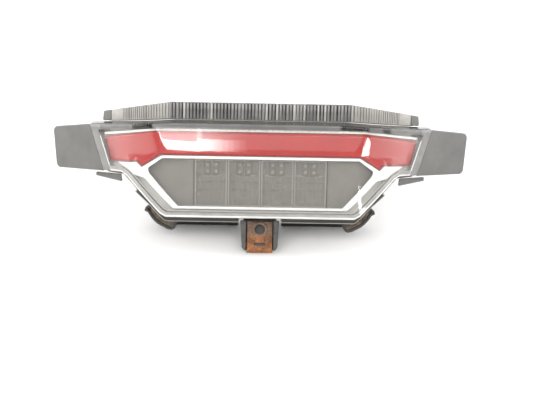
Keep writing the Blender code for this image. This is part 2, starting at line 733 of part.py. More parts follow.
def make_clip_nut(parts, tools, leaning):
    """Folded sheet-steel nut over the tip of the tongue, with an extruded threaded collar."""
    front = TONGUE_PLATE[0] - GAP - CLIP_SHEET
    back = TONGUE_PLATE[1] + GAP + CLIP_SHEET
    inner_tip = CLIP_TIP + CLIP_SHEET
    fold = [
        (front, CLIP_TOP), (front, CLIP_TIP + CLIP_FOLD), (front + CLIP_FOLD, CLIP_TIP),
        (back - CLIP_FOLD, CLIP_TIP), (back, CLIP_TIP + CLIP_FOLD), (back, CLIP_BACK_TOP),
        (back - CLIP_SHEET, CLIP_BACK_TOP), (back - CLIP_SHEET, inner_tip),
        (front + CLIP_SHEET, inner_tip), (front + CLIP_SHEET, CLIP_TOP),
    ]
    mesh = flat_outline_mesh("clip_nut", [fold])
    stretch = Matrix.Diagonal((1.0, 1.0, 2 * CLIP_HALF, 1.0))
    upright = Matrix(((0, 0, 1, 0), (1, 0, 0, 0), (0, 1, 0, 0), (0, 0, 0, 1)))
    mesh.transform(upright @ stretch)
    work = bmesh.new()
    work.from_mesh(mesh)
    bmesh.ops.remove_doubles(work, verts=work.verts, dist=0.001 * MM)
    face_outwards(work)
    work.to_mesh(mesh)
    work.free()
    nut = place("clip_nut", mesh, RUSTY_STEEL, parts, leaning)
    rim = front - CLIP_COLLAR_HEIGHT
    root = front + CLIP_SHEET / 2
    collar = disc_mesh("clip_collar", CLIP_COLLAR_RADIUS, rim, root, z=CLIP_HOLE_Z)
    boolean(nut, collar, tools, "UNION")
    thread = disc_mesh("clip_thread", CLIP_HOLE_RADIUS, *BOLT_WAY, z=CLIP_HOLE_Z)
    boolean(nut, thread, tools)
    width, height = CLIP_SLOT
    low = (-width / 2, front - OVERCUT, CLIP_SLOT_Z - height / 2)
    high = (width / 2, TONGUE_PLATE[0], CLIP_SLOT_Z + height / 2)
    boolean(nut, box_mesh("clip_slot", low, high), tools)


def make_back_fittings(parts, tools, lamp):
    """Studs with rubber grommets, the cable socket with its pins, the breather and the screws."""
    face = HOUSING_BACK + GAP
    for side, word in ((1, "right"), (-1, "left")):
        where = (side * STUD_X, face, STUD_Z)
        turned("mounting_stud_" + word, STUD_PROFILE, ZINC, parts, lamp, where)
        turned("stud_grommet_" + word, GROMMET_PROFILE, RUBBER, parts, lamp, where, closed=True)
        for row, (x, z) in zip(("upper", "lower"), LENS_SCREWS):
            name = "lens_screw_" + row + "_" + word
            where = (side * x, face, z)
            turned(name, LENS_SCREW_HEAD, ZINC, parts, lamp, where, steps=SCREW_STEPS)
    breather_x, breather_z = BREATHER_CENTRE
    turned("breather_cap", BREATHER_PROFILE, RUBBER, parts, lamp, (breather_x, face, breather_z))
    make_socket(parts, tools, lamp, face)


def make_socket(parts, tools, lamp, face):
    """Open plug socket on the back, with three flat pins that stop short of its mouth."""
    width, depth, height = SOCKET_SIZE
    x, z = SOCKET_CENTRE
    low = (x - width / 2, face, z - height / 2)
    high = (x + width / 2, face + depth, z + height / 2)
    shroud_mesh = box_mesh("socket_shroud", low, high)
    shroud = place("socket_shroud", shroud_mesh, BLACK_ABS, parts, lamp)
    inner_low = (low[0] + SOCKET_WALL, face + SOCKET_FLOOR, low[2] + SOCKET_WALL)
    inner_high = (high[0] - SOCKET_WALL, high[1] + OVERCUT, high[2] - SOCKET_WALL)
    boolean(shroud, box_mesh("socket_hollow", inner_low, inner_high), tools)
    pin_width, pin_length, pin_height = PIN_SIZE
    for number in range(3):
        pin_x = x + (number - 1) * PIN_PITCH
        start = face + SOCKET_FLOOR + GAP
        pin_low = (pin_x - pin_width / 2, start, z - pin_height / 2)
        pin_high = (pin_x + pin_width / 2, start + pin_length, z + pin_height / 2)
        name = "socket_pin_" + str(number + 1)
        place(name, box_mesh(name, pin_low, pin_high), BRASS, parts, lamp)


def stand_on_ground(lamp, parts):
    """Move the lamp so that the middle of its lowest plane is the origin."""
    bpy.context.view_layer.update()
    depsgraph = bpy.context.evaluated_depsgraph_get()
    points = []
    for piece in parts.objects:
        solid = piece.evaluated_get(depsgraph)
        points += [solid.matrix_world @ vertex.co for vertex in solid.data.vertices]
    depths = [point.y for point in points]
    lowest = min(point.z for point in points)
    lamp.location.y -= (min(depths) + max(depths)) / 2
    lamp.location.z -= lowest


def main():
    """Build every piece of the lamp."""
    clear_scene()
    parts = new_collection("tail_light")
    tools = new_collection("cutting_tools")
    lamp = new_empty("lamp_frame", lean=-RAKE)
    make_outer_lens(parts, tools, lamp)
    make_wings(parts, tools, lamp)
    make_upper_band(parts, tools, lamp)
    make_tail_light(parts, lamp)
    make_trim(parts, lamp)
    make_brake_light(parts, tools, lamp)
    make_housing(parts, tools, lamp)
    make_tongue(parts, tools, lamp)
    make_back_fittings(parts, tools, lamp)
    stand_on_ground(lamp, parts)


main()
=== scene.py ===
"""Looks of a scooter tail light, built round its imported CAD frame.

Shapes are drawn in the lamp's own frame, in millimetres: x across, y backwards from the lens face
and z up the lens face. Most pieces are lofts: rings of one outline at growing depth, closed by a
cap at each end and bent back along the sweep of the lens.
"""

import json
import math
import random

import bmesh
import bpy
from mathutils import Matrix, Vector, noise


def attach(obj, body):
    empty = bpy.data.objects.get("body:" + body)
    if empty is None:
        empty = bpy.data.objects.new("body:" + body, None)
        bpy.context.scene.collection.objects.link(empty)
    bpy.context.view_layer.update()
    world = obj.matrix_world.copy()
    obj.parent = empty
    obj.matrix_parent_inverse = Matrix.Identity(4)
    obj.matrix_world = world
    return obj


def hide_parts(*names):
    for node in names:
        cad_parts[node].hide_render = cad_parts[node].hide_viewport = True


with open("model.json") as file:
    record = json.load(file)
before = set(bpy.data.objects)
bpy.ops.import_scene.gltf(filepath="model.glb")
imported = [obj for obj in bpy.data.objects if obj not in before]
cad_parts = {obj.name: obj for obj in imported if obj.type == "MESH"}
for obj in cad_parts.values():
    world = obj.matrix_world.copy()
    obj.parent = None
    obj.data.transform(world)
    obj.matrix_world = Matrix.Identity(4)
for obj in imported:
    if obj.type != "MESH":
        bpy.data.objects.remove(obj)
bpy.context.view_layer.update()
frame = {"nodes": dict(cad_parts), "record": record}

MM = 0.001
GAP = 0.3

# The lamp's own frame, recovered from the mount that the left stud makes.
STUD_SEAT = (-62.0, 54.6, 17.4)
seat = next(mount for mount in frame["record"]["mounts"] if mount["name"] == "stud_seat_left")
RAKE = math.atan2(-seat["axis"][2], seat["axis"][1])
LEAN = Matrix.Rotation(-RAKE, 4, "X")
LAMP_ORIGIN = Vector(seat["pos_m"]) - LEAN @ (Vector(STUD_SEAT) * MM)
LAMP = Matrix.Translation(LAMP_ORIGIN) @ LEAN
LAMP_MM = LAMP @ Matrix.Scale(MM, 4)

# Sweep of the lens in plan view: flat middle, tight bend, curved shoulder, straight wing.
BEND_START = 54.0
BEND_LEAN = 0.34
BEND_LEAN_FROM = 7.0
BEND_LEAN_TO = 26.0
BEND_SHARE = 0.16
SHOULDER_END = 90.86
SHOULDER_DEPTH = 21.26
SHOULDER_FIRST = 0.5
WING_SWEEP = math.radians(40.0)
BAND_CREASE = 52.5
BAND_RADIUS = 75.0
BAND_FIRST_ANGLE = math.radians(12.0)

# Depths behind the swept lens face.
LENS_WALL = 2.4
LENS_DEPTH = 9.2
LENS_TOP_RISE = 1.4
LENS_TOP_FROM = 15.0
LENS_FOOT_FLARE = 0.8
LENS_FOOT_FROM = -20.0
WING_WALL = 2.2
WING_RIBS = (112.0, 123.0)
WING_RIB_HALF = 0.6
WING_DEPTH = 7.0
BAND_FRONT = 8.0
BAND_BACK = 18.0
BAND_TOP_RISE = -0.4
BAND_WALL = 1.4
HOUSING_FRONT = 11.0
HOUSING_BACK = 47.0
HOUSING_FLOOR = 3.0
HOUSING_DRAFT = 0.97

# Outlines seen from the front, on the right side, as (x, z). A name that ends in HALF is the
# right half of an outline that crosses the lamp; the others are whole.
LENS_HALF = [
    (50.0, 26.3), (90.0, 24.0), (106.0, 23.2), (95.8, -4.6), (83.6, -4.4), (80.0, -6.3),
    (59.0, -26.7), (55.4, -28.7),
]
WING = [(106.1, 23.2), (135.0, 20.3), (132.7, -6.0), (95.9, -4.7)]
JOINT = [(106.05, 23.2), (95.85, -4.6)]
BAND_HALF = [(52.5, 38.1), (91.4, 32.4), (91.4, 25.8), (52.5, 28.1)]
BLOCK = [(91.8, 32.4), (97.3, 31.4), (98.1, 25.4), (91.8, 25.9)]
STRIP_HALF = [
    (60.0, 20.9), (76.6, 19.0), (96.0, 15.9), (91.9, 1.5), (72.6, 2.6), (70.2, 0.0), (66.0, 2.7),
    (58.6, 7.5),
]
STRIP_OPENING_HALF = [(60.0, 20.8), (95.2, 15.8), (90.2, 2.2), (72.2, 3.4), (58.6, 8.1)]
GUIDE_HALF = [(60.0, 22.9), (95.9, 18.7), (95.5, 17.3), (60.0, 21.4)]
WINDOW_HALF = [(57.4, 5.4), (66.2, -0.8), (65.6, -3.5), (48.3, -22.5)]
BEZEL_HALF = [
    (57.6, 7.1), (66.0, 2.1), (70.2, -0.6), (73.2, 2.1), (86.5, 1.35), (79.5, -2.2), (75.6, -5.6),
    (68.6, -6.8), (51.0, -24.1),
]
HOUSING_HALF = [
    (52.0, 27.5), (90.0, 25.2), (105.2, 24.3), (95.4, -6.2), (83.6, -6.6), (74.6, -15.2),
    (76.3, -16.3), (67.0, -23.6), (57.0, -32.9), (12.6, -32.9), (12.2, -30.6),
]
HOLLOW_HALF = [
    (52.0, 25.1), (88.0, 22.6), (88.0, -4.0), (81.0, -4.6), (70.0, -16.0), (57.0, -27.6),
]
BAFFLE_HALF = [(52.5, 37.3), (91.4, 31.6), (97.0, 30.6), (97.0, 25.05), (52.5, 27.65)]
CORNER_SKIRT = [
    (66.0, -23.4), (69.0, -25.4), (69.7, -27.4), (67.5, -28.6), (66.0, -31.0), (64.1, -33.4),
    (61.7, -35.5), (59.3, -36.8), (55.7, -38.6), (53.2, -39.1), (51.4, -38.0), (50.2, -34.0),
    (48.0, -29.0), (57.01, -29.0),
]
SKIRT_WALL = 1.3
SKIRT_POCKET = 4.0
REST_RIB_TOP = -26.6
REST_RIB_HALF_LENGTH = 24.3
REST_RIB_HALF_WIDTH = 2.5
SKIRT_FRONT = 16.0
SKIRT_BACK = 27.0
TAB = [(84.8, -6.3), (103.0, -6.7), (103.1, -8.9), (84.2, -10.6)]

# Mounting tongue, in its own frame that leans forward under the lens.
TONGUE_ORIGIN = (0.0, 12.0, -31.9)
TONGUE_LEAN = math.radians(25.0)
TONGUE_MM = LAMP_MM @ Matrix.Translation(TONGUE_ORIGIN) @ Matrix.Rotation(-TONGUE_LEAN, 4, "X")
CLIP_HOLE_Z = -5.2
CLIP_HOLE_RADIUS = 3.15
CLIP_HOLE_HEIGHT = (TONGUE_MM @ Vector((0.0, 0.0, CLIP_HOLE_Z))).z

# Turns for the axis of a turned body, which is drawn along z.
BACKWARDS = Matrix.Rotation(-math.pi / 2, 4, "X")
DOWNWARDS = Matrix.Rotation(math.pi, 4, "X")

SIDES = ((1, "right"), (-1, "left"))

# Camera, from the front and above.
CAMERA_TARGET = (0.00405, 0.0, 0.01906)
CAMERA_DISTANCE = 0.4664
CAMERA_AZIMUTH = math.radians(-0.77)
CAMERA_ELEVATION = math.radians(24.94)
CAMERA_ROLL = math.radians(1.30)
CAMERA_LENS = 50.0


# ---------------------------------------------------------------- outlines and sweeps


def mirrored(half):
    """A closed outline from its right half."""
    return half + [(-x, z) for x, z in reversed(half)]


def sided(outline, side):
    """An outline on the right (side 1) or on the left (side -1)."""
    return [(side * x, z) for x, z in outline]


def turn_of(outline):
    """1 for an outline that runs anticlockwise, -1 for one that runs clockwise."""
    following = outline[1:] + outline[:1]
    area = sum(x0 * z1 - x1 * z0 for (x0, z0), (x1, z1) in zip(outline, following))
    return 1.0 if area > 0.0 else -1.0


def inset(outline, distance):
    """The outline moved inwards by a distance, with mitred corners; negative moves it outwards."""
    turn = turn_of(outline)
    moved = []
    for before, here, after in neighbours(outline):
        first = (here - before).normalized()
        second = (after - here).normalized()
        normal_first = Vector((-first.y, first.x)) * turn
        normal_second = Vector((-second.y, second.x)) * turn
        bisector = (normal_first + normal_second).normalized()
        moved.append(tuple(here + bisector * (distance / bisector.dot(normal_first))))
    return moved


def neighbours(outline):
    """Each corner of an outline with the corners before and after it."""
    corners = [Vector(point) for point in outline]
    return zip(corners[-1:] + corners[:-1], corners, corners[1:] + corners[:1])


def ring(outline, distance=0.0, radius=0.6, radii=None, steps=4):
    """The outline moved inwards and its corners rounded; radii holds the special corners."""
    turn = turn_of(outline)
    points = []
    for index, (before, here, after) in enumerate(neighbours(inset(outline, distance))):
        wanted = (radii or {}).get(index, radius)
        to_before = before - here
        to_after = after - here
        convex = to_after.cross(to_before) * turn > 0.0
        wanted = max(wanted - distance if convex else wanted + distance, 0.1)
        half_angle = to_before.angle(to_after) / 2
        longest_trim = 0.45 * min(to_before.length, to_after.length)
        trim = min(wanted / math.tan(half_angle), longest_trim)
        arc_radius = trim * math.tan(half_angle)
        middle = (to_before.normalized() + to_after.normalized()).normalized()
        centre = here + middle * (arc_radius / math.sin(half_angle))
        start = here + to_before.normalized() * trim - centre
        finish = here + to_after.normalized() * trim - centre
        for step in range(steps + 1):
            spoke = start.lerp(finish, step / steps).normalized()
            points.append(tuple(centre + spoke * arc_radius))
    return points


def both_sides(half, count):
    """Corner radii for a mirrored outline of count corners, from those of its right half."""
    return {**half, **{count - 1 - index: radius for index, radius in half.items()}}


def shoulder_curve(share):
    """Depth of the shoulder, from 0 to 1, at a share of the way across it."""
    growth = (1.0 - SHOULDER_FIRST * (1.0 - BEND_SHARE / 2)) / (0.5 - 0.15 * BEND_SHARE ** 2)
    bent = min(share / BEND_SHARE, 1.0)
    start = SHOULDER_FIRST * BEND_SHARE * (bent ** 3 - bent ** 4 / 2)
    start += growth * BEND_SHARE ** 2 * (0.75 * bent ** 4 - 0.4 * bent ** 5)
    if share <= BEND_SHARE:
        return start
    rest = SHOULDER_FIRST * (share - BEND_SHARE)
    return start + rest + growth * (share ** 2 - BEND_SHARE ** 2) / 2


def lens_sweep(x, z):
    """How far the lens face lies back; its bend leans outwards towards the top."""
    reach = abs(x)
    height = min(max(z, BEND_LEAN_FROM), BEND_LEAN_TO) - BEND_LEAN_FROM
    start = BEND_START + BEND_LEAN * height
    if reach <= start:
        return 0.0
    if reach <= SHOULDER_END:
        share = (reach - start) / (SHOULDER_END - start)
        return SHOULDER_DEPTH * shoulder_curve(share)
    return SHOULDER_DEPTH + (reach - SHOULDER_END) * math.tan(WING_SWEEP)


def band_sweep(x, z):
    """How far the upper band lies back; it has a crisp bend."""
    reach = abs(x)
    if reach <= BAND_CREASE:
        return 0.0
    if reach >= SHOULDER_END:
        return SHOULDER_DEPTH + (reach - SHOULDER_END) * math.tan(WING_SWEEP)
    sine = math.sin(BAND_FIRST_ANGLE) + (reach - BAND_CREASE) / BAND_RADIUS
    return BAND_RADIUS * (math.cos(BAND_FIRST_ANGLE) - math.sqrt(1.0 - sine * sine))


def no_sweep(x, z):
    """A piece that isn't bent."""
    return 0.0


# ---------------------------------------------------------------- meshes


def face_outwards(work):
    """Point every face of a closed mesh outwards."""
    bmesh.ops.recalc_face_normals(work, faces=work.faces)
    if work.calc_volume(signed=True) < 0.0:
        bmesh.ops.reverse_faces(work, faces=work.faces)


def cut_lines():
    """The x and z values at which a swept mesh needs a line of points."""
    across = [BEND_START - 1.0 + step for step in range(22)]
    across += [BEND_START + 22.0 + 2.5 * step for step in range(7)]
    across += [SHOULDER_END, 98.0, 105.0, 112.0, 119.0, 126.0, 132.0]
    upright = [BEND_LEAN_FROM + 2.4 * step for step in range(9)]
    return across, upright


def loft(loops, sweep=lens_sweep, marks=None, cap_marks=(0, 0)):
    """A closed body from loops of rings; a ring is (points, depth), and marks are materials."""
    work = bmesh.new()
    ends = ([], [])
    for rings in loops:
        rows = [[work.verts.new((x, depth, z)) for x, z in points] for points, depth in rings]
        count = len(rows[0])
        for number, (row, next_row) in enumerate(zip(rows, rows[1:])):
            for i in range(count):
                j = (i + 1) % count
                face = work.faces.new((row[i], row[j], next_row[j], next_row[i]))
                face.material_index = marks[number] if marks else 0
        for end, row in zip(ends, (rows[0], rows[-1])):
            for i in range(count):
                end.append(work.edges.get((row[i], row[(i + 1) % count])))
    for end, mark in zip(ends, cap_marks):
        made = bmesh.ops.triangle_fill(work, use_beauty=True, edges=end)
        for face in made["geom"]:
            if isinstance(face, bmesh.types.BMFace):
                face.material_index = mark
    bmesh.ops.dissolve_degenerate(work, dist=0.001, edges=work.edges)
    if sweep is not no_sweep:
        bend(work, sweep)
    face_outwards(work)
    return work


def bend(work, sweep):
    """Cut a flat body into strips and bend it along a sweep."""
    across, upright = cut_lines()
    planes = [((side * x, 0.0, 0.0), (1.0, 0.0, 0.0)) for x in across for side in (1.0, -1.0)]
    planes += [((0.0, 0.0, z), (0.0, 0.0, 1.0)) for z in upright]
    for point, normal in planes:
        whole = work.verts[:] + work.edges[:] + work.faces[:]
        bmesh.ops.bisect_plane(work, geom=whole, plane_co=point, plane_no=normal, dist=0.01)
    for vertex in work.verts:
        vertex.co.y += sweep(vertex.co.x, vertex.co.z)


def edge_arc(radius, depth, steps=3, back=False):
    """Pairs of inset and depth round an edge: from a front face outwards, or out to a back face."""
    pairs = []
    for step in range(steps + 1):
        angle = math.pi / 2 * step / steps
        fall = radius * (1.0 - math.cos(angle))
        pairs.append((radius * (1.0 - math.sin(angle)), depth - fall if back else depth + fall))
    return list(reversed(pairs)) if back else pairs


def solid_pairs(front, back, front_edge=0.4, back_edge=0.3, steps=3):
    """Inset and depth pairs of a plain plate with rounded edges."""
    return edge_arc(front_edge, front, steps) + edge_arc(back_edge, back, 2, back=True)


def rings_of(outline, pairs, shape=None, hole=False, **rounding):
    """Rings of one outline at each pair of inset and depth."""
    side = -1.0 if hole else 1.0
    made = []
    for distance, depth in pairs:
        points = ring(outline, side * distance, **rounding)
        if shape:
            points = [shape(x, z, depth) for x, z in points]
        made.append((points, depth))
    return made


def mesh_from(work, name="tool"):
    """A mesh from one under construction."""
    mesh = bpy.data.meshes.new(name)
    work.to_mesh(mesh)
    work.free()
    return mesh


def put(name, work, *details, **settings):
    """Turn a mesh under construction into a piece that rides on the lamp."""
    put_mesh(name, mesh_from(work, name), *details, **settings)


def put_plate(name, outline, pairs, look, slot, node, sweep=lens_sweep, shape=None, **rounding):
    """Make a piece of one outline and one material."""
    rings = rings_of(outline, pairs, shape, **rounding)
    put(name, loft([rings], sweep), [look], slot, [node])


def put_mesh(name, mesh, looks, slot, nodes, matrix=LAMP_MM, sharp=35.0, weighted=True):
    """Turn a mesh in millimetres into a piece that rides on the lamp."""
    mesh.transform(matrix)
    mesh.shade_smooth()
    mesh.set_sharp_from_angle(angle=math.radians(sharp))
    for number, look in enumerate(looks):
        if number < len(mesh.materials):
            mesh.materials[number] = look
        else:
            mesh.materials.append(look)
    while len(mesh.materials) > len(looks):
        mesh.materials.pop()
    piece = linked_object(name, mesh)
    if weighted:
        step = piece.modifiers.new("flat_faces_first", "WEIGHTED_NORMAL")
        step.keep_sharp = True
        step.weight = 80
    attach(piece, "root")
    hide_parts(*nodes)


def lamp_box(node):
    """Lowest and highest corner of a CAD node in the lamp's own frame, in millimetres."""
    return node_box(node, LAMP_MM)


def node_box(node, matrix):
    """Lowest and highest corner of a CAD node in a frame given in millimetres."""
    back = matrix.inverted()
    points = [back @ vertex.co for vertex in frame["nodes"][node].data.vertices]
    low = Vector([min(point[axis] for point in points) for axis in range(3)])
    high = Vector([max(point[axis] for point in points) for axis in range(3)])
    return low, high


def add_box(work, low, high, bevel=0.3, segments=2, mark=0):
    """Add a box with rounded edges."""
    middle = (Vector(low) + Vector(high)) / 2
    size = Vector(high) - Vector(low)
    matrix = Matrix.Translation(middle) @ Matrix.Diagonal((*size, 1.0))
    made = bmesh.ops.create_cube(work, size=1.0, matrix=matrix)
    faces = {face for vertex in made["verts"] for face in vertex.link_faces}
    edges = {edge for vertex in made["verts"] for edge in vertex.link_edges}
    if bevel:
        work.edges.index_update()
        done = bmesh.ops.bevel(
            work, geom=sorted(edges, key=lambda edge: edge.index), offset=bevel,
            segments=segments, profile=0.5, affect="EDGES", clamp_overlap=True,
        )
        faces = {face for face in faces | set(done["faces"]) if face.is_valid}
    for face in faces:
        face.material_index = mark


def add_turned(work, profile, matrix, segments=48, radius_at=None, mark=0):
    """Add a turned body; profile is (radius, distance along z) from one end to the other."""
    rows = []
    for radius, along in profile:
        if radius <= 0.0:
            rows.append([work.verts.new(matrix @ Vector((0.0, 0.0, along)))])
            continue
        row = []
        for i in range(segments):
            angle = 2 * math.pi * i / segments
            reach = radius_at(radius, along, angle) if radius_at else radius
            spoke = Vector((reach * math.cos(angle), reach * math.sin(angle), along))
            row.append(work.verts.new(matrix @ spoke))
        rows.append(row)
    for row, next_row in zip(rows, rows[1:]):
        join_rows(work, row, next_row, mark)
    return rows


def join_rows(work, row, next_row, mark=0):
    """Faces between two closed rows of points; a row of one point is the tip of a cone."""
    count = max(len(row), len(next_row))
    for i in range(count):
        j = (i + 1) % count
        corners = [row[i % len(row)], row[j % len(row)]]
        corners += [next_row[j % len(next_row)], next_row[i % len(next_row)]]
        corners = list(dict.fromkeys(corners))
        work.faces.new(corners).material_index = mark


def linked_object(name, content):
    """A new object in the scene."""
    made = bpy.data.objects.new(name, content)
    bpy.context.scene.collection.objects.link(made)
    return made


def baked(holder, tools=()):
    """The mesh of an object with its modifiers applied; the object and its tools are removed."""
    depsgraph = bpy.context.evaluated_depsgraph_get()
    result = bpy.data.meshes.new_from_object(holder.evaluated_get(depsgraph))
    for extra in [*tools, holder]:
        bpy.data.objects.remove(extra)
    return result


def merged(piece_mesh, tool_meshes, operation="DIFFERENCE"):
    """A mesh cut by tools, or joined to them; material numbers stay."""
    for mesh in [piece_mesh] + tool_meshes:
        while len(mesh.materials) < 3:
            mesh.materials.append(None)
    holder = linked_object("merge_holder", piece_mesh)
    tools = []
    for mesh in tool_meshes:
        tool = linked_object("merge_tool", mesh)
        step = holder.modifiers.new("merge", "BOOLEAN")
        step.operation = operation
        step.solver = "EXACT"
        step.object = tool
        tools.append(tool)
    return baked(holder, tools)


NUDGES = (0.0, 0.011, -0.017, 0.023)


def joined(base, tool):
    """Two meshes joined; a join that fails is tried again with the tool moved by a hair."""
    for nudge in NUDGES:
        moved = tool.copy()
        moved.transform(Matrix.Translation((nudge, nudge / 2, nudge / 3)))
        made = merged(base.copy(), [moved], "UNION")
        if len(made.vertices) > len(base.vertices):
            return made
    raise ValueError("a moulded detail does not join its body")


def box_mesh(low, high, bevel=0.0):
    """A box as a mesh of its own."""
    work = bmesh.new()
    add_box(work, low, high, bevel)
    return mesh_from(work)


def turned_mesh(profile, matrix, segments=48):
    """A turned body as a mesh of its own."""
    work = bmesh.new()
    add_turned(work, profile, matrix, segments)
    face_outwards(work)
    return mesh_from(work)


# ---------------------------------------------------------------- materials


def new_look(name):
    """An empty node material."""
    look = bpy.data.materials.new(name)
    look.use_nodes = True
    look.node_tree.nodes.clear()
    return look


def add(look, kind, inputs=None, **settings):
    """A shader node with its settings and inputs; an input is a value or another node's output."""
    tree = look.node_tree
    node = tree.nodes.new(kind)
    for key, value in settings.items():
        setattr(node, key, value)
    for key, value in (inputs or {}).items():
        if isinstance(value, bpy.types.NodeSocket):
            tree.links.new(value, node.inputs[key])
        else:
            node.inputs[key].default_value = value
    return node


def place_of(look):
    """The place on the lamp, for every pattern."""
    return add(look, "ShaderNodeTexCoord").outputs["Object"]


def pattern(look, size, detail=4.0, roughness=0.55, stretch=None):
    """Cloudy noise whose patches are about size millimetres."""
    where = place_of(look)
    if stretch:
        where = add(look, "ShaderNodeMapping", {"Vector": where, "Scale": stretch}).outputs[0]
    inputs = {"Vector": where, "Scale": 1.0 / (size * MM), "Detail": detail, "Roughness": roughness}
    return add(look, "ShaderNodeTexNoise", inputs).outputs["Fac"]


def ramp(look, factor, stops):
    """A colour ramp; stops are (position, colour)."""
    node = add(look, "ShaderNodeValToRGB", {"Fac": factor})
    elements = node.color_ramp.elements
    while len(elements) < len(stops):
        elements.new(0.5)
    for element, (position, colour) in zip(elements, stops):
        element.position = position
        element.color = (*colour, 1.0)
    return node.outputs["Color"]


def spread(look, factor, low, high):
    """A noise value stretched to a range."""
    inputs = {"Value": factor, "From Min": 0.3, "From Max": 0.7, "To Min": low, "To Max": high}
    return add(look, "ShaderNodeMapRange", inputs).outputs["Result"]


def relief(look, height, distance, strength=1.0):
    """A bump whose height is distance millimetres."""
    inputs = {"Height": height, "Distance": distance * MM, "Strength": strength}
    return add(look, "ShaderNodeBump", inputs).outputs["Normal"]


def finish_look(look, shader):
    """Send a shader to the material's output."""
    add(look, "ShaderNodeOutputMaterial", {"Surface": shader})
    return look


def principled(look, inputs):
    """A solid surface from the inputs of its shader."""
    return add(look, "ShaderNodeBsdfPrincipled", inputs).outputs["BSDF"]


def surface(
    name, dark, light, patch=6.0, roughness=(0.4, 0.55), metallic=0.0, grain=0.35, relief_mm=0.02,
    coat=0.0, stretch=None,
):
    """A moulded, plated or painted surface: uneven colour and gloss, and a fine grain."""
    look = new_look(name)
    cloud = pattern(look, patch, stretch=stretch)
    grains = pattern(look, grain, detail=2.0, stretch=stretch)
    inputs = {
        "Base Color": ramp(look, cloud, [(0.3, dark), (0.7, light)]),
        "Roughness": spread(look, cloud, *roughness),
        "Metallic": metallic,
        "Coat Weight": coat,
        "Normal": relief(look, grains, relief_mm),
    }
    return finish_look(look, principled(look, inputs))


def calculated(look, operation, first, second):
    """The sum, difference or product of two values."""
    return add(look, "ShaderNodeMath", {0: first, 1: second}, operation=operation).outputs[0]


def between(look, value, start, stop, soft):
    """1 where a value lies between start and stop, fading to 0 over a soft edge at each end."""
    low = {"Value": value, "From Min": start - soft, "From Max": start + soft}
    high = {"Value": value, "From Min": stop + soft, "From Max": stop - soft}
    rise, fall = (
        add(look, "ShaderNodeMapRange", inputs, interpolation_type="SMOOTHSTEP").outputs["Result"]
        for inputs in (low, high)
    )
    return calculated(look, "MULTIPLY", rise, fall)


def clear_plastic(
    name, tint, haze, haze_colour, gloss_roughness=0.02, ior=1.49, ripple=0.001, clear_spots=(),
):
    """Thin clear plastic: light passes straight through, with some haze and a glossy surface.

    A clear spot is (start, stop, soft edge) in millimetres across the lamp, and has no haze.
    """
    look = new_look(name)
    through = add(look, "ShaderNodeBsdfTransparent", {"Color": (*tint, 1.0)}).outputs[0]
    milk_inputs = {"Base Color": (*haze_colour, 1.0), "Roughness": 0.5, "Specular IOR Level": 0.0}
    milk = principled(look, milk_inputs)
    amount = spread(look, pattern(look, 9.0), haze * 0.85, haze * 1.15)
    across = add(look, "ShaderNodeSeparateXYZ", {0: place_of(look)}).outputs["X"]
    for start, stop, soft in clear_spots:
        spot = between(look, across, start * MM, stop * MM, soft * MM)
        kept = calculated(look, "SUBTRACT", 1.0, spot)
        amount = calculated(look, "MULTIPLY", amount, kept)
    body = add(look, "ShaderNodeMixShader", {0: amount, 1: through, 2: milk}).outputs[0]
    normal = relief(look, pattern(look, 14.0, detail=1.0), ripple)
    gloss_inputs = {"Color": (1.0, 1.0, 1.0, 1.0), "Roughness": gloss_roughness, "Normal": normal}
    gloss = add(look, "ShaderNodeBsdfGlossy", gloss_inputs).outputs[0]
    from_front = add(look, "ShaderNodeFresnel", {"IOR": ior, "Normal": normal}).outputs[0]
    from_behind = add(look, "ShaderNodeFresnel", {"IOR": 1.0 / ior, "Normal": normal}).outputs[0]
    behind = add(look, "ShaderNodeNewGeometry").outputs["Backfacing"]
    edge = add(look, "ShaderNodeMix", {0: behind, 2: from_front, 3: from_behind}).outputs[0]
    shader = add(look, "ShaderNodeMixShader", {0: edge, 1: body, 2: gloss})
    return finish_look(look, shader.outputs[0])


def rusty_look(name):
    """Rust on a rough, pitted sheet, with dust on its upper part."""
    look = new_look(name)
    broad = pattern(look, 5.0, detail=6.0, roughness=0.65)
    fine = pattern(look, 0.8, detail=5.0, roughness=0.7)
    crust = ramp(look, broad, [
        (0.32, (0.04, 0.02, 0.012)), (0.42, (0.14, 0.055, 0.022)), (0.52, (0.29, 0.095, 0.024)),
        (0.62, (0.36, 0.14, 0.045)), (0.72, (0.24, 0.18, 0.13)),
    ])
    dusty = ramp(look, broad, [(0.35, (0.09, 0.07, 0.055)), (0.65, (0.21, 0.175, 0.145))])
    height = add(look, "ShaderNodeSeparateXYZ", {0: place_of(look)}).outputs["Z"]
    top = CLIP_HOLE_HEIGHT + 2.0 * MM
    above = between(look, height, CLIP_HOLE_HEIGHT - 3.0 * MM, top + 20.0 * MM, 2.5 * MM)
    crust = add(look, "ShaderNodeMix", {0: above, 6: crust, 7: dusty}, data_type="RGBA").outputs[2]
    specks = ramp(look, fine, [
        (0.36, (0.02, 0.012, 0.008)), (0.46, (0.22, 0.09, 0.036)), (0.6, (0.42, 0.23, 0.11)),
        (0.7, (0.85, 0.8, 0.68)),
    ])
    mixed = add(look, "ShaderNodeMix", {0: 0.35, 6: crust, 7: specks}, data_type="RGBA")
    inputs = {
        "Base Color": mixed.outputs[2],
        "Roughness": spread(look, fine, 0.65, 0.95),
        "Metallic": 0.1,
        "Normal": relief(look, fine, 0.25),
    }
    return finish_look(look, principled(look, inputs))


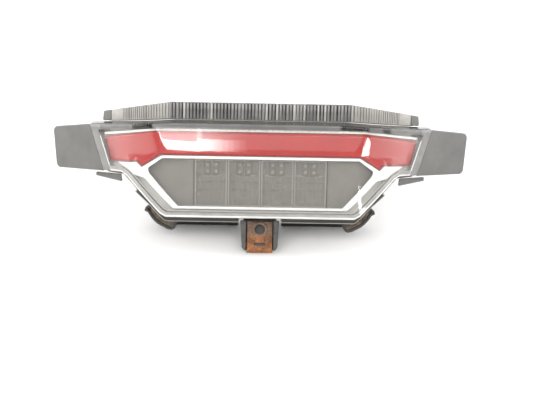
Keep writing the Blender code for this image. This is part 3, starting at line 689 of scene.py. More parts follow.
def red_strip(name):
    """Red plastic, with a slight glow for the light that comes through it."""
    look = new_look(name)
    cloud = pattern(look, 30.0, detail=1.0)
    colour = ramp(look, cloud, [(0.35, (0.35, 0.005, 0.004)), (0.65, (0.41, 0.012, 0.008))])
    inputs = {
        "Base Color": colour,
        "Roughness": 0.25,
        "Coat Weight": 0.4,
        "Coat Roughness": 0.05,
        "Emission Color": (0.8, 0.02, 0.012, 1.0),
        "Emission Strength": 0.08,
        "Normal": relief(look, pattern(look, 1.2, detail=1.0), 0.01),
    }
    return finish_look(look, principled(look, inputs))


LENS = clear_plastic("lens_clear", (0.975, 0.975, 0.97), 0.012, (0.6, 0.59, 0.57), ripple=0.004)
# Milky white haze on the lens's edges and lower sides: a painted highlight for the light those edges
# catch.
LENS_RIM_HIGHLIGHT = clear_plastic("lens_rim_painted_highlight", (0.85, 0.85, 0.84), 0.70, (0.90, 0.89, 0.87), 0.05)
# Dark haze on the clear ledge along the top of the lens: a painted shade, left out at a few clear
# spots.
LENS_LEDGE_SHADE = clear_plastic(
    "lens_ledge_painted_shade", (0.62, 0.61, 0.60), 0.66, (0.19, 0.186, 0.18), 0.08,
    clear_spots=[(-75.0, -62.5, 0.8), (45.5, 61.5, 1.5), (70.5, 75.5, 1.0)],
)
LENS_EDGE = clear_plastic("lens_edge", (0.85, 0.84, 0.82), 0.55, (0.44, 0.43, 0.415), 0.04)
LENS_END = clear_plastic("lens_end", (0.8, 0.79, 0.77), 0.93, (0.215, 0.21, 0.203), 0.10)
LENS_SIDE = clear_plastic("lens_side", (0.50, 0.49, 0.47), 0.40, (0.13, 0.125, 0.12), 0.06)
BAND_CLEAR = clear_plastic("band_ribs", (0.70, 0.69, 0.67), 0.72, (0.44, 0.42, 0.385), 0.12)
BAND_GREY = clear_plastic("band_grey_ribs", (0.42, 0.41, 0.40), 0.62, (0.27, 0.265, 0.26), 0.14)
BAND_SMOKE = clear_plastic("band_dark_ribs", (0.30, 0.29, 0.28), 0.62, (0.19, 0.185, 0.18), 0.16)
# Dark hazes for the band's foot and for its grooves: painted shade on clear plastic.
BAND_FOOT_SHADE = clear_plastic("band_foot_painted_shade", (0.25, 0.22, 0.19), 0.8, (0.15, 0.125, 0.10), 0.3)
BAND_GROOVE_SHADE = clear_plastic("band_groove_painted_shade", (0.16, 0.155, 0.15), 0.55, (0.075, 0.072, 0.07), 0.2)
PANE = clear_plastic("smoked_pane", (0.88, 0.865, 0.85), 0.19, (0.40, 0.39, 0.37), 0.05)
WING_GREY = surface(
    "wing_grey", (0.082, 0.078, 0.073), (0.128, 0.123, 0.115), patch=16.0,
    roughness=(0.42, 0.52), relief_mm=0.012, coat=0.15,
)
TAB_GREY = surface(
    "tab_grey", (0.09, 0.088, 0.083), (0.12, 0.117, 0.11), roughness=(0.45, 0.55),
    relief_mm=0.012,
)
BLACK = surface(
    "black_moulding", (0.016, 0.016, 0.017), (0.034, 0.033, 0.032), patch=9.0,
    roughness=(0.42, 0.62), relief_mm=0.03,
)
DUSTY = surface(
    "dusty_moulding", (0.07, 0.058, 0.045), (0.30, 0.25, 0.195), patch=2.2,
    roughness=(0.6, 0.85), relief_mm=0.04,
)
DUSTY_RIM = surface(
    "dusty_rim", (0.27, 0.24, 0.21), (0.42, 0.385, 0.345), patch=3.0, roughness=(0.5, 0.7),
    relief_mm=0.02, stretch=(0.3, 1.0, 1.0),
)
TRAY_GREY = surface(
    "tray_grey", (0.56, 0.545, 0.53), (0.66, 0.645, 0.63), patch=8.0, roughness=(0.3, 0.4),
    relief_mm=0.01,
)
SMOKY = surface(
    "smoky_block", (0.10, 0.10, 0.088), (0.15, 0.148, 0.13), patch=3.0, roughness=(0.35, 0.45),
    relief_mm=0.004, stretch=(3.0, 1.0, 0.6),
)
# White for the bright trim, and for painted glints on the reflector cups.
WHITE_TRIM_AND_GLINTS = surface(
    "bright_trim_and_painted_glints", (0.95, 0.95, 0.94), (0.99, 0.99, 0.98), patch=12.0, roughness=(0.18, 0.26),
    relief_mm=0.003, coat=0.5,
)
SILVER = surface(
    "satin_silver", (0.52, 0.51, 0.495), (0.60, 0.59, 0.575), patch=14.0, roughness=(0.32, 0.42),
    relief_mm=0.006,
)
MIRROR = surface(
    "reflector_mirror", (0.54, 0.53, 0.51), (0.66, 0.65, 0.63), patch=5.0, roughness=(0.2, 0.28),
    metallic=0.2, relief_mm=0.006, coat=0.6,
)
CREAM = surface(
    "milky_guide", (0.86, 0.83, 0.78), (0.95, 0.93, 0.89), patch=4.0, roughness=(0.2, 0.3),
    relief_mm=0.004, coat=0.5,
)
BOARD = surface(
    "board_mask", (0.018, 0.09, 0.035), (0.03, 0.13, 0.055), patch=5.0, roughness=(0.3, 0.4),
    relief_mm=0.02, grain=1.2,
)
LED_BODY = surface(
    "led_body", (0.34, 0.33, 0.31), (0.44, 0.43, 0.40), patch=1.5, roughness=(0.3, 0.4),
    relief_mm=0.004,
)
LED_GLOW = surface(
    "led_phosphor", (0.93, 0.90, 0.72), (0.98, 0.96, 0.86), patch=0.8, roughness=(0.3, 0.45),
    relief_mm=0.01, coat=0.6,
)
RUBBER = surface(
    "rubber_black", (0.012, 0.012, 0.012), (0.026, 0.025, 0.024), patch=4.0,
    roughness=(0.7, 0.88), relief_mm=0.05,
)
ZINC = surface(
    "zinc_plate", (0.50, 0.49, 0.46), (0.64, 0.64, 0.63), patch=2.5, roughness=(0.28, 0.45),
    metallic=1.0, relief_mm=0.015,
)
BRASS = surface(
    "tinned_pin", (0.60, 0.53, 0.36), (0.76, 0.70, 0.52), patch=1.5, roughness=(0.2, 0.35),
    metallic=1.0, relief_mm=0.006,
)
TONGUE_BLACK = surface(
    "tongue_black", (0.022, 0.024, 0.028), (0.09, 0.085, 0.078), patch=4.5,
    roughness=(0.4, 0.7), relief_mm=0.12, grain=0.9,
)
RED = red_strip("red_strip")
RUST = rusty_look("rusty_sheet")


# ---------------------------------------------------------------- covers seen from the front


def lens_draft(x, z, depth):
    """The lens skirt rises towards the back at the top and spreads at the foot."""
    share = max(depth, 0.0) / LENS_DEPTH
    if z > LENS_TOP_FROM:
        return x, z + LENS_TOP_RISE * share
    if z < LENS_FOOT_FROM:
        return x, z - LENS_FOOT_FLARE * share
    return x, z


# Material numbers of the lens: its face, sides, rim, bevel, the ledge along its top, and its ends. The
# rim carries a painted highlight and the ledge a painted shade.
CLEAR, SIDE, HIGHLIGHT_RIM, BEVEL, SHADED_LEDGE, END = range(6)
END_ZONE = 5.4
END_LINE = 6.1
LEDGE_FOOT = 20.0
END_LINE_TOP = 17.0
# Depth of the thin painted highlight line near each end of the lens.
HIGHLIGHT_LINE_DEPTH = 0.5

# How the rings of lens and wing move near their joint. The two inner rings of the lens start out
# between these distances from it.
RING_START = 3.3
RING_MIDDLE = 3.9
RING_STOP = 4.4
LENS_JOINT_REACH = 1.45
WING_JOINT_REACH = 1.0
SHARPER = 0.2
NEAR_ZERO = 0.01


def joint_distance(x, z):
    """How far a point lies outside the joint of lens and wing; negative inside it."""
    (top_x, top_z), (foot_x, foot_z) = JOINT
    return abs(x) - foot_x - (top_x - foot_x) * (z - foot_z) / (top_z - foot_z)


def flatten_joint(work, deepest):
    """Bring the rounded edges at the joint of lens and wing forward, up to a depth."""
    for vertex in work.verts:
        depth = vertex.co.y - lens_sweep(vertex.co.x, vertex.co.z)
        if abs(joint_distance(vertex.co.x, vertex.co.z)) < 2 * SHARPER and depth < deepest:
            vertex.co.y -= (1.0 - SHARPER) * depth


def flush_joint(x, z, reach):
    """Keep the edges of lens and wing sharp where they meet; reach is the width that is pulled in."""
    away = joint_distance(x, z)
    distance = abs(away)
    if distance < reach:
        pulled = SHARPER * distance
    elif distance < 2 * reach:
        pulled = SHARPER * reach + (2.0 - SHARPER) * (distance - reach)
    else:
        return x, z
    return math.copysign(abs(x) + math.copysign(pulled, away) - away, x), z


def lens_face_draft(x, z, depth):
    """The lens's draft, with a sharp edge where the wing starts."""
    x, z = lens_draft(x, z, depth)
    inside = -joint_distance(x, z)
    if depth < NEAR_ZERO and RING_START < inside < RING_STOP:
        wanted = END_ZONE if inside < RING_MIDDLE else END_LINE
        return x - math.copysign(wanted - inside, x), z
    return flush_joint(x, z, LENS_JOINT_REACH) if depth < LENS_WALL - NEAR_ZERO else (x, z)


def wing_draft(x, z, depth):
    """A sharp edge where the lens starts."""
    return flush_joint(x, z, WING_JOINT_REACH) if depth < WING_WALL - NEAR_ZERO else (x, z)


def make_lens_cover():
    """Clear cover: a polished face, a step round its edge, and a skirt down to the gasket."""
    outline = mirrored(LENS_HALF)
    radii = both_sides({0: 3.0, 2: 0.5, 3: 0.5, 4: 3.0, 5: 3.0, 6: 5.0, 7: 4.0}, len(outline))
    step_in = 0.45
    outside = [(3.9, 0.0), (3.4, 0.0)]
    outside += [(step_in + distance, depth) for distance, depth in edge_arc(0.9, 0.0, 4)]
    outside += [(step_in, 2.2), (0.15, 2.5), (0.0, 2.8), (0.0, LENS_DEPTH - 0.3)]
    rim = [(0.3, LENS_DEPTH), (LENS_WALL - 0.3, LENS_DEPTH), (LENS_WALL, LENS_DEPTH - 0.3)]
    arc = edge_arc(0.8, LENS_WALL, 3)
    inside = [(LENS_WALL + distance, depth) for distance, depth in reversed(arc)]
    pairs = outside + rim + inside
    rings = rings_of(outline, pairs, lens_face_draft, radius=1.0, radii=radii)
    marks = [CLEAR, BEVEL] + [HIGHLIGHT_RIM] * 4 + [SIDE] * (len(pairs) - 10) + [CLEAR] * 3
    work = loft([rings], marks=marks)
    flatten_joint(work, LENS_WALL)
    # The lower sides, and a thin line near each end, take the rim's painted highlight.
    for face in work.faces:
        middle = face.calc_center_median()
        # The top edge and bevel take the ledge's painted shade.
        if face.material_index in (HIGHLIGHT_RIM, BEVEL) and middle.z > LEDGE_FOOT:
            face.material_index = SHADED_LEDGE
        if face.material_index == SIDE and middle.z < LEDGE_FOOT:
            face.material_index = HIGHLIGHT_RIM
        out = joint_distance(middle.x, middle.z)
        depth = middle.y - lens_sweep(middle.x, middle.z)
        if depth < LENS_WALL - 0.2 and out > -END_ZONE - 0.1:
            face.material_index = END
        elif depth < HIGHLIGHT_LINE_DEPTH and out > -END_LINE - 0.1 and middle.z < END_LINE_TOP:
            face.material_index = HIGHLIGHT_RIM
    looks = [LENS, LENS_SIDE, LENS_RIM_HIGHLIGHT, LENS_EDGE, LENS_LEDGE_SHADE, LENS_END]
    put("lens_cover", work, looks, "clear_acrylic", ["outer_lens"])


def make_wings():
    """Grey wings: thin covers, open at the back, with stiffening ribs inside."""
    for side, word in SIDES:
        outline = sided(WING, side)
        outside = edge_arc(0.9, 0.0, 4) + [(0.0, WING_DEPTH - 0.3)]
        rim = [(0.3, WING_DEPTH), (WING_WALL - 0.3, WING_DEPTH), (WING_WALL, WING_DEPTH - 0.3)]
        inside = [(WING_WALL + d, depth) for d, depth in reversed(edge_arc(0.6, WING_WALL, 3))]
        radii = {0: 0.5, 1: 3.2, 2: 3.2, 3: 0.5}
        pairs = outside + rim + inside
        work = loft([rings_of(outline, pairs, wing_draft, radii=radii, steps=6)])
        flatten_joint(work, 1.5)
        for reach in WING_RIBS:
            rib = bmesh.new()
            low = (reach - WING_RIB_HALF, WING_WALL - 0.4, -3.0)
            add_box(rib, low, (reach + WING_RIB_HALF, 5.2, 19.0), 0.2, 1)
            for vertex in rib.verts:
                vertex.co.y += lens_sweep(vertex.co.x, vertex.co.z)
                vertex.co.x *= side
            if side < 0:
                bmesh.ops.reverse_faces(rib, faces=rib.faces)
            work.from_mesh(mesh_from(rib))
        name = "wing_" + word
        put(name + "_cover", work, [WING_GREY], "grey_satin", [name])


def make_side_tabs():
    """Wedge tabs under the joints of lens and wings."""
    for side, word in SIDES:
        name = "side_tab_" + word
        pairs = solid_pairs(6.2, 9.0)
        put_plate(name + "_wedge", sided(TAB, side), pairs, TAB_GREY, "grey_satin", name, radius=0.5)


def band_edge(x, middle, end):
    """Height of an edge of the band: level in the middle, falling to its ends."""
    (x0, z0), (x1, z1) = middle, end
    share = min(max((abs(x) - x0) / (x1 - x0), 0.0), 1.0)
    return z0 + (z1 - z0) * share


# Material numbers of the band: clear ribs, grooves with a painted shade, grey ribs, smoky ribs, and a
# painted shade along the foot and underside.
RIB, SHADED_GROOVE, GREY_RIB, SMOKY_RIB, SHADED_FOOT = range(5)
FLUTE_PITCH = 2.0
FLUTE_SQUEEZE = 0.032
FLUTE_END = 83.5
FLUTE_DEPTH = 0.8
FLUTE_CREASE = 0.22
FLUTE_CUTS = 1100
BAND_FRONT_ROWS = range(4, 10)
LEFT_FLUTES = 100


def flute_phase(x):
    """Number of flutes between the middle and x; they get narrower round the shoulder."""
    reach = abs(x)
    if reach <= BAND_CREASE:
        return reach / FLUTE_PITCH
    pitch = FLUTE_PITCH - FLUTE_SQUEEZE * (reach - BAND_CREASE)
    extra = math.log(FLUTE_PITCH / pitch) / FLUTE_SQUEEZE
    return BAND_CREASE / FLUTE_PITCH + extra


def make_fluted_band():
    """Upper lens: a curved band with a fine vertical rib every two millimetres."""
    top_middle, top_end, foot_end, foot_middle = BAND_HALF
    end = top_end[0]
    chance = random.Random(7)
    tone_choice = (GREY_RIB, GREY_RIB, GREY_RIB, SMOKY_RIB, SMOKY_RIB, RIB)
    widths = [chance.uniform(0.08, 0.30) for _ in range(2 * LEFT_FLUTES)]
    tones = [chance.choice(tone_choice) for _ in range(2 * LEFT_FLUTES)]
    work = bmesh.new()
    previous = None
    for i in range(FLUTE_CUTS + 1):
        x = -end + 2 * end * i / FLUTE_CUTS
        top = band_edge(x, top_middle, top_end)
        foot = band_edge(x, foot_middle, foot_end)
        phase = flute_phase(x)
        offset = abs(phase - round(phase))
        fade = min(max((FLUTE_END - abs(x)) / 1.0, 0.0), 1.0)
        crease = max(0.0, 1.0 - offset / FLUTE_CREASE)
        groove = fade * (0.55 * crease + 0.25 * (1.0 - 2 * offset) ** 2)
        depth = BAND_FRONT + band_sweep(x, 0.0)
        back = BAND_BACK + band_sweep(x, 0.0)
        rise = BAND_TOP_RISE
        cut = groove * FLUTE_DEPTH
        profile = [
            (back, foot), (depth + 0.8, foot), (depth + 0.7, foot - 0.38),
            (depth + 0.1, foot - 0.36), (depth + 0.05, foot + 0.3), (depth + cut, foot + 1.0),
            (depth + cut, (top + foot) / 2), (depth + 0.03 + cut, top - 0.6 - cut / 2),
            (depth + 0.2 + cut, top - 0.2 - cut / 2), (depth + 0.7 + cut, top - cut / 2),
            (depth + 5.0, top + 0.5 * rise - 0.3 * cut), (back, top + rise),
            (back, top + rise - BAND_WALL), (depth + 4.0, top - BAND_WALL - 0.2),
            (depth + BAND_WALL + 0.4, top - BAND_WALL - 0.8),
            (depth + BAND_WALL + 0.4, foot + BAND_WALL), (back, foot + BAND_WALL),
        ]
        row = [work.verts.new((x, y, z)) for y, z in profile]
        if previous:
            first = LEFT_FLUTES if x < 0 else 0
            # dark marks groove faces that take a painted shade, each of a random width.
            dark = offset < widths[int(round(phase)) + first] and fade > 0.5
            middle = abs(x) < BAND_CREASE + 1.0
            tone = tones[int(phase) + first] if middle else RIB
            for k in range(len(row)):
                j = (k + 1) % len(row)
                face = work.faces.new((previous[k], previous[j], row[j], row[k]))
                if k in BAND_FRONT_ROWS:
                    face.material_index = (SHADED_GROOVE if middle else GREY_RIB) if dark else tone
                else:
                    # The underside and the lip at the foot take a painted shade.
                    face.material_index = SHADED_FOOT if k < BAND_FRONT_ROWS[0] else GREY_RIB
        else:
            work.faces.new(row)
        previous = row
    work.faces.new(previous)
    face_outwards(work)
    looks = [BAND_CLEAR, BAND_GROOVE_SHADE, BAND_GREY, BAND_SMOKE, BAND_FOOT_SHADE]
    put("fluted_band", work, looks, "clear_acrylic", ["upper_lens"], weighted=False)


def block_draft(x, z, depth):
    """The top of an end block slopes like that of the band."""
    share = (depth - BAND_FRONT) / (BAND_BACK - BAND_FRONT)
    middle = (BLOCK[0][1] + BLOCK[2][1]) / 2
    return (x, z + BAND_TOP_RISE * share) if z > middle else (x, z)


def make_end_blocks():
    """Dark blocks that close the ends of the fluted band."""
    for side, word in SIDES:
        name = "upper_block_" + word
        pairs = solid_pairs(BAND_FRONT, BAND_BACK, 0.6, 0.4)
        put_plate(
            name + "_cap", sided(BLOCK, side), pairs, SMOKY, "black_abs", name,
            sweep=band_sweep, shape=block_draft, radius=0.9,
        )


def make_baffle():
    """Dark wall behind the fluted band."""
    front = BAND_BACK + GAP
    pairs = solid_pairs(front, front + 2.0, 0.3, 0.3)
    put_plate(
        "upper_baffle_wall", mirrored(BAFFLE_HALF), pairs, BLACK, "black_abs", "upper_baffle",
        sweep=band_sweep, radius=1.2,
    )


# ---------------------------------------------------------------- tail light and window


def make_tail_strip():
    """Red strip lens with a bevelled border."""
    pairs = [(1.5, 4.0), (1.2, 4.05), (0.35, 4.7), (0.1, 4.95), (0.0, 5.2)]
    pairs += edge_arc(0.2, 6.0, 2, back=True)
    outline = mirrored(STRIP_HALF)
    put_plate("tail_strip", outline, pairs, RED, "red_acrylic", "tail_strip_lens", radius=0.8)


BEAD_PITCH = 3.4


def make_light_guide():
    """Milky light guide along the top of the strip, with a row of beads in its face."""
    outline = mirrored(GUIDE_HALF)
    rings = rings_of(outline, solid_pairs(3.2, 6.0, 0.35, 0.2), radius=0.4)
    work = loft([rings])
    count = int(GUIDE_HALF[0][0] / BEAD_PITCH)
    for number in range(-count, count + 1):
        x = number * BEAD_PITCH
        centre = Vector((x, 3.25 + lens_sweep(x, 22.0), 22.1))
        shape = Matrix.Translation(centre) @ Matrix.Diagonal((0.75, 0.5, 0.55, 1.0))
        bmesh.ops.create_icosphere(work, subdivisions=3, radius=1.0, matrix=shape)
    put("bead_light_guide", work, [CREAM], "light_guide", ["light_guide"])


def make_bezel():
    """Bright frame round the window, with a rounded face."""
    pairs = edge_arc(0.7, 3.4, 4) + edge_arc(0.3, 5.6, 2, back=True)
    outline = mirrored(BEZEL_HALF)
    radii = both_sides({2: 0.3, 3: 0.5, 4: 0.3, 5: 2.0, 6: 1.5, 7: 3.0}, len(outline))
    outer = rings_of(outline, pairs, radius=1.5, radii=radii)
    inner = rings_of(mirrored(WINDOW_HALF), pairs, hole=True, radius=1.2)
    work = loft([outer, inner])
    put("bright_bezel", work, [WHITE_TRIM_AND_GLINTS], "chrome_trim", ["chrome_bezel"])


def make_pane():
    """Smoked pane behind the bright frame."""
    outline = inset(mirrored(WINDOW_HALF), -1.8)
    pairs = solid_pairs(6.0, 7.2, 0.2, 0.2)
    put_plate("smoked_window", outline, pairs, PANE, "smoked_acrylic", "window_pane", radius=1.5)


SURROUND_TOP = 21.6


def make_surround():
    """Satin surround with openings for the window and the strip, and a raised line at its edge."""
    outline = inset(mirrored(LENS_HALF), LENS_WALL + 0.15)
    window = inset(mirrored(WINDOW_HALF), -0.6)
    strip = inset(mirrored(STRIP_OPENING_HALF), 2.2)
    bead = [(1.6, 7.6), (1.3, 7.4), (1.3, 6.4), (1.0, 6.1), (0.3, 6.1), (0.0, 6.4)]
    bead += [(0.0, 9.0), (0.2, 9.2)]
    plain = [(0.4, 7.6), (0.2, 7.65), (0.05, 7.8), (0.0, 7.95), (0.0, 8.2), (0.0, 8.6)]
    plain += [(0.0, 8.9), (0.2, 9.2)]
    outer = rings_of(outline, bead, radius=2.0)
    holes = [rings_of(hole, plain, hole=True, radius=1.0) for hole in (window, strip)]
    work = loft([outer] + holes)
    for face in work.faces:
        if face.calc_center_median().z > SURROUND_TOP:
            face.material_index = 1
    put("window_surround", work, [SILVER, BLACK], "silver_trim", ["reflector_surround"])


def make_tray():
    """Tray round the four reflector cells."""
    low, high = lamp_box("reflector_cell_1")
    right = lamp_box("reflector_cell_4")[1]
    half = right.x + 0.9
    opening = [(half, high.z + 0.6), (half, low.z - 0.6), (-half, low.z - 0.6), (-half, high.z + 0.6)]
    outline = inset(mirrored(WINDOW_HALF), -2.0)
    pairs = solid_pairs(12.0, 13.4, 0.2, 0.2)
    outer = rings_of(outline, pairs, radius=1.5)
    inner = rings_of(opening, pairs, hole=True, radius=0.5)
    work = loft([outer, inner])
    put("cell_tray", work, [TRAY_GREY], "black_abs", ["reflector_tray"])


CELL_WALL = 0.9
CELL_FACETS = 6
CELL_COLUMNS = 36
CELL_ROWS = (
    0.0, 0.02, 0.05, 0.12, 0.19, 0.26, 0.33, 0.345, 0.36, 0.43, 0.485, 0.51, 0.6, 0.665, 0.69,
    0.78, 0.87, 0.95, 0.975, 1.0,
)
# Rows of the ledges, where random facets take a painted glint, with these chances at the sides and in
# the middle.
CELL_LEDGES = (0.33, 0.345, 0.485, 0.665)
MIDDLE_GLINTS = 0.2
SIDE_GLINTS = 0.75


def cell_depth(u, v, low, high):
    """Depth of a reflector cell's faceted floor; u runs across it and v down it, from 0 to 1."""
    steps = [(0.0, 0.55), (0.05, 0.9), (0.33, 0.93), (0.36, 0.72), (0.50, 0.55), (0.51, 0.80)]
    steps += [(0.68, 0.58), (0.69, 0.80), (0.95, 0.45), (1.0, 0.30)]
    for (v0, d0), (v1, d1) in zip(steps, steps[1:]):
        if v <= v1:
            share = d0 + (d1 - d0) * (v - v0) / (v1 - v0)
            break
    across = (u * CELL_FACETS) % 1.0
    pillow = 0.06 * (1.0 - (2 * across - 1.0) ** 2) if v > 0.34 else 0.0
    return low + (high - low) * (share - pillow)


def pushed_out(value, low, high, distance):
    """A value moved outwards if it lies on one end of a range."""
    if abs(value - low) < 0.001:
        return value - distance
    return value + distance if abs(value - high) < 0.001 else value


def make_reflector_cells():
    """Four stepped reflector cups with vertical facets; the LEDs show through slots. Random facets
    along the ledges and the cup rims are white, as painted highlights.
    """
    chance = random.Random(23)
    painted_glint_shares = [SIDE_GLINTS] * 4 + [MIDDLE_GLINTS] * 4 + [SIDE_GLINTS] * 4
    wall = CELL_WALL
    for number in range(1, 5):
        node = "reflector_cell_" + str(number)
        low, high = lamp_box(node)
        work = bmesh.new()
        front, back = low.y, high.y
        floor_rows = []
        for v in CELL_ROWS:
            z = high.z - wall - (high.z - low.z - 2 * wall) * v
            row = []
            for column in range(CELL_COLUMNS + 1):
                u = column / CELL_COLUMNS
                x = low.x + wall + (high.x - low.x - 2 * wall) * u
                y = cell_depth(u, v, front, back - 0.4)
                row.append(work.verts.new((x, y, z)))
            floor_rows.append(row)
        for v, row, next_row in zip(CELL_ROWS, floor_rows, floor_rows[1:]):
            painted_glints = [chance.random() < share for share in painted_glint_shares]
            for i in range(len(row) - 1):
                face = work.faces.new((row[i], row[i + 1], next_row[i + 1], next_row[i]))
                face.material_index = 1 if v in CELL_LEDGES and painted_glints[i // 3] else 0
        border = floor_rows[0] + [row[-1] for row in floor_rows[1:]]
        border += list(reversed(floor_rows[-1][:-1]))
        border += [row[0] for row in reversed(floor_rows[1:-1])]
        loops = [border]
        rim = [(0.0, front + 0.15), (0.15, front), (wall - 0.15, front), (wall, front + 0.2)]
        for grow, depth in rim + [(wall, back)]:
            row = []
            for vertex in border:
                x = pushed_out(vertex.co.x, low.x + wall, high.x - wall, grow)
                z = pushed_out(vertex.co.z, low.z + wall, high.z - wall, grow)
                row.append(work.verts.new((x, depth, z)))
            loops.append(row)
        for row, next_row in zip(loops, loops[1:]):
            # The rim rows take the white as a painted highlight.
            join_rows(work, row, next_row, 1 if next_row is not loops[-1] else 0)
        work.faces.new(loops[-1])
        face_outwards(work)
        body = mesh_from(work)
        slots = []
        for led in (2 * number - 1, 2 * number):
            led_low, led_high = lamp_box("brake_led_" + str(led))
            room = Vector((0.3, 1.0, 0.3))
            slots.append(box_mesh(led_low - room, led_high + room))
        name = node.replace("cell", "cup")
        looks = [MIRROR, WHITE_TRIM_AND_GLINTS]
        put_mesh(name, merged(body, slots), looks, "chrome_trim", [node], sharp=12.0, weighted=False)


def make_led(node, name, rows=1):
    """LED package: a moulded body with solder lugs, and a phosphor dome for each chip."""
    low, high = lamp_box(node)
    work = bmesh.new()
    add_box(work, low + Vector((0.0, 0.9, 0.0)), high, 0.25)
    width = high.x - low.x
    pitch = (high.z - low.z) / rows
    radius = 0.3 * min(width, pitch)
    angles = [step * math.pi / 16 for step in range(8)]
    dome = [(radius * math.cos(angle), -0.9 * math.sin(angle)) for angle in angles]
    profile = [(0.0, 0.2), (radius, 0.2)] + dome + [(0.0, -0.9)]
    lug = 0.35
    for row in range(rows):
        z = high.z - pitch * (row + 0.5)
        x = (low.x + high.x) / 2
        matrix = Matrix.Translation((x, low.y + 0.9, z)) @ BACKWARDS
        add_turned(work, profile, matrix, 20, mark=1)
        for side in (-1, 1):
            foot = (x + side * (width / 2 - lug) - lug, high.y - 0.5, z - 0.5)
            tip = (x + side * (width / 2 - lug) + lug, high.y - 0.02, z + 0.5)
            add_box(work, foot, tip, 0.1, 1, mark=2)
    face_outwards(work)
    put(name, work, [LED_BODY, LED_GLOW, ZINC], "led_package", [node])


def make_leds():
    """Every LED of the lamp: brake, tail and upper band."""
    for row, count, chips in (("brake", 8, 2), ("tail", 6, 1), ("upper", 4, 1)):
        for number in range(1, count + 1):
            make_led(f"{row}_led_{number}", f"{row}_light_{number}", chips)


# ---------------------------------------------------------------- housing and what is on its back


def housing_draft(x, z, depth):
    """The housing narrows to the back."""
    share = (depth - HOUSING_FRONT) / (HOUSING_BACK - HOUSING_FRONT)
    scale = 1.0 - (1.0 - HOUSING_DRAFT) * max(share, 0.0)
    return x * scale, z * scale


def bent_loft(outline, pairs, fixed_back, front_mark=0, **rounding):
    """A loft whose front follows the sweep of the lens and whose back is flat."""
    rings = rings_of(outline, pairs, housing_draft, **rounding)
    work = loft([rings], sweep=no_sweep, marks=[front_mark] * 3 + [0] * (len(pairs) - 4))
    bend(work, no_sweep)
    for vertex in work.verts:
        share = (fixed_back - vertex.co.y) / (fixed_back - HOUSING_FRONT)
        vertex.co.y += lens_sweep(vertex.co.x, vertex.co.z) * min(max(share, 0.0), 1.0)
    face_outwards(work)
    return work


def make_housing():
    """Black tub: swept rim, skirts at the lower corners, rest ribs, and a ribbed back."""
    outline = mirrored(HOUSING_HALF)
    radii = both_sides({0: 3.0, 2: 1.0, 3: 1.0, 8: 4.0, 9: 0.3, 10: 0.3}, len(outline))
    pairs = edge_arc(0.5, HOUSING_FRONT, 3) + [(0.0, 13.4), (0.5, 13.7), (0.5, 30.0)]
    pairs += [(0.5 + d, depth) for d, depth in edge_arc(1.6, HOUSING_BACK, 4, back=True)]
    body = mesh_from(bent_loft(outline, pairs, HOUSING_BACK, 1, radius=1.2, radii=radii))
    floor = HOUSING_BACK - HOUSING_FLOOR
    hollow_pairs = [(0.0, HOUSING_FRONT - 1.0), (0.0, floor - 1.0), (1.0, floor)]
    hollow = mesh_from(bent_loft(mirrored(HOLLOW_HALF), hollow_pairs, HOUSING_BACK, radius=1.0))
    shell = body
    for detail in [corner_skirt(-1), corner_skirt(1)] + rest_ribs():
        shell = joined(shell, detail)
    shell = merged(shell, [hollow])
    shell = merged(shell, back_ribs(), "UNION")
    put_mesh("housing_shell", shell, [BLACK, DUSTY_RIM, DUSTY], "black_abs", ["rear_housing"])


def corner_skirt(side):
    """Curved fin under a lower corner of the housing, open to the front, with a web inside."""
    outline = sided(CORNER_SKIRT, side)
    rings = rings_of(outline, solid_pairs(SKIRT_FRONT, SKIRT_BACK, 0.35, 0.6), radius=0.5)
    fin = mesh_from(loft([rings], sweep=no_sweep))
    depths = [(SKIRT_WALL, SKIRT_FRONT - 1.0), (SKIRT_WALL, SKIRT_FRONT + SKIRT_POCKET)]
    rings = rings_of(outline, depths, radius=0.4)
    pocket = loft([rings], sweep=no_sweep, marks=[2], cap_marks=(2, 2))
    return merged(fin, [mesh_from(pocket)])


def rest_ribs():
    """The two long ribs under the housing that the lamp stands on."""
    ribs = []
    back = LAMP_MM.inverted()
    for mount in frame["record"]["mounts"]:
        if mount["name"].startswith("rest_"):
            foot = back @ Vector(mount["pos_m"])
            low = (-REST_RIB_HALF_LENGTH, -REST_RIB_HALF_WIDTH, 0.0)
            high = (REST_RIB_HALF_LENGTH, REST_RIB_HALF_WIDTH, REST_RIB_TOP - foot.z)
            rib = box_mesh(low, high, 0.6)
            rib.transform(Matrix.Translation(foot) @ Matrix.Rotation(RAKE, 4, "X"))
            ribs.append(rib)
    return ribs


def back_ribs():
    """Raised border and cross ribs moulded on the flat back."""
    stand = HOUSING_BACK + 0.25
    root = HOUSING_BACK - 1.0
    half = 0.7
    spans = [(x, x, -3.0 + half, 21.5 - half) for x in (-78.0, -46.0, -10.0, 10.0, 46.0, 78.0)]
    spans += [(-78.0, 78.0, z, z) for z in (-3.6, 21.6)]
    spans += [(x, x, -22.0 + half, -3.0 - half) for x in (-30.0, 0.0, 30.0)]
    return [
        box_mesh((x0 - half, root, z0 - half), (x1 + half, stand, z1 + half), 0.2)
        for x0, x1, z0, z1 in spans
    ]


def make_gasket():
    """Rubber gasket between lens and housing."""
    outline = mirrored(LENS_HALF)
    pairs = [(0.0, 9.7), (0.0, 10.1), (0.15, 10.5), (0.5, 10.65), (1.9, 10.65), (2.25, 10.5)]
    pairs += [(2.4, 10.1), (2.4, 9.7), (2.1, 9.5), (0.3, 9.5)]
    rings = rings_of(outline, pairs, radius=1.0)
    work = bmesh.new()
    rows = [[work.verts.new((x, depth, z)) for x, z in points] for points, depth in rings]
    for row, next_row in zip(rows, rows[1:] + rows[:1]):
        join_rows(work, row, next_row)
    bend(work, lens_sweep)
    face_outwards(work)
    put("lens_seal", work, [RUBBER], "rubber", ["lens_gasket"])


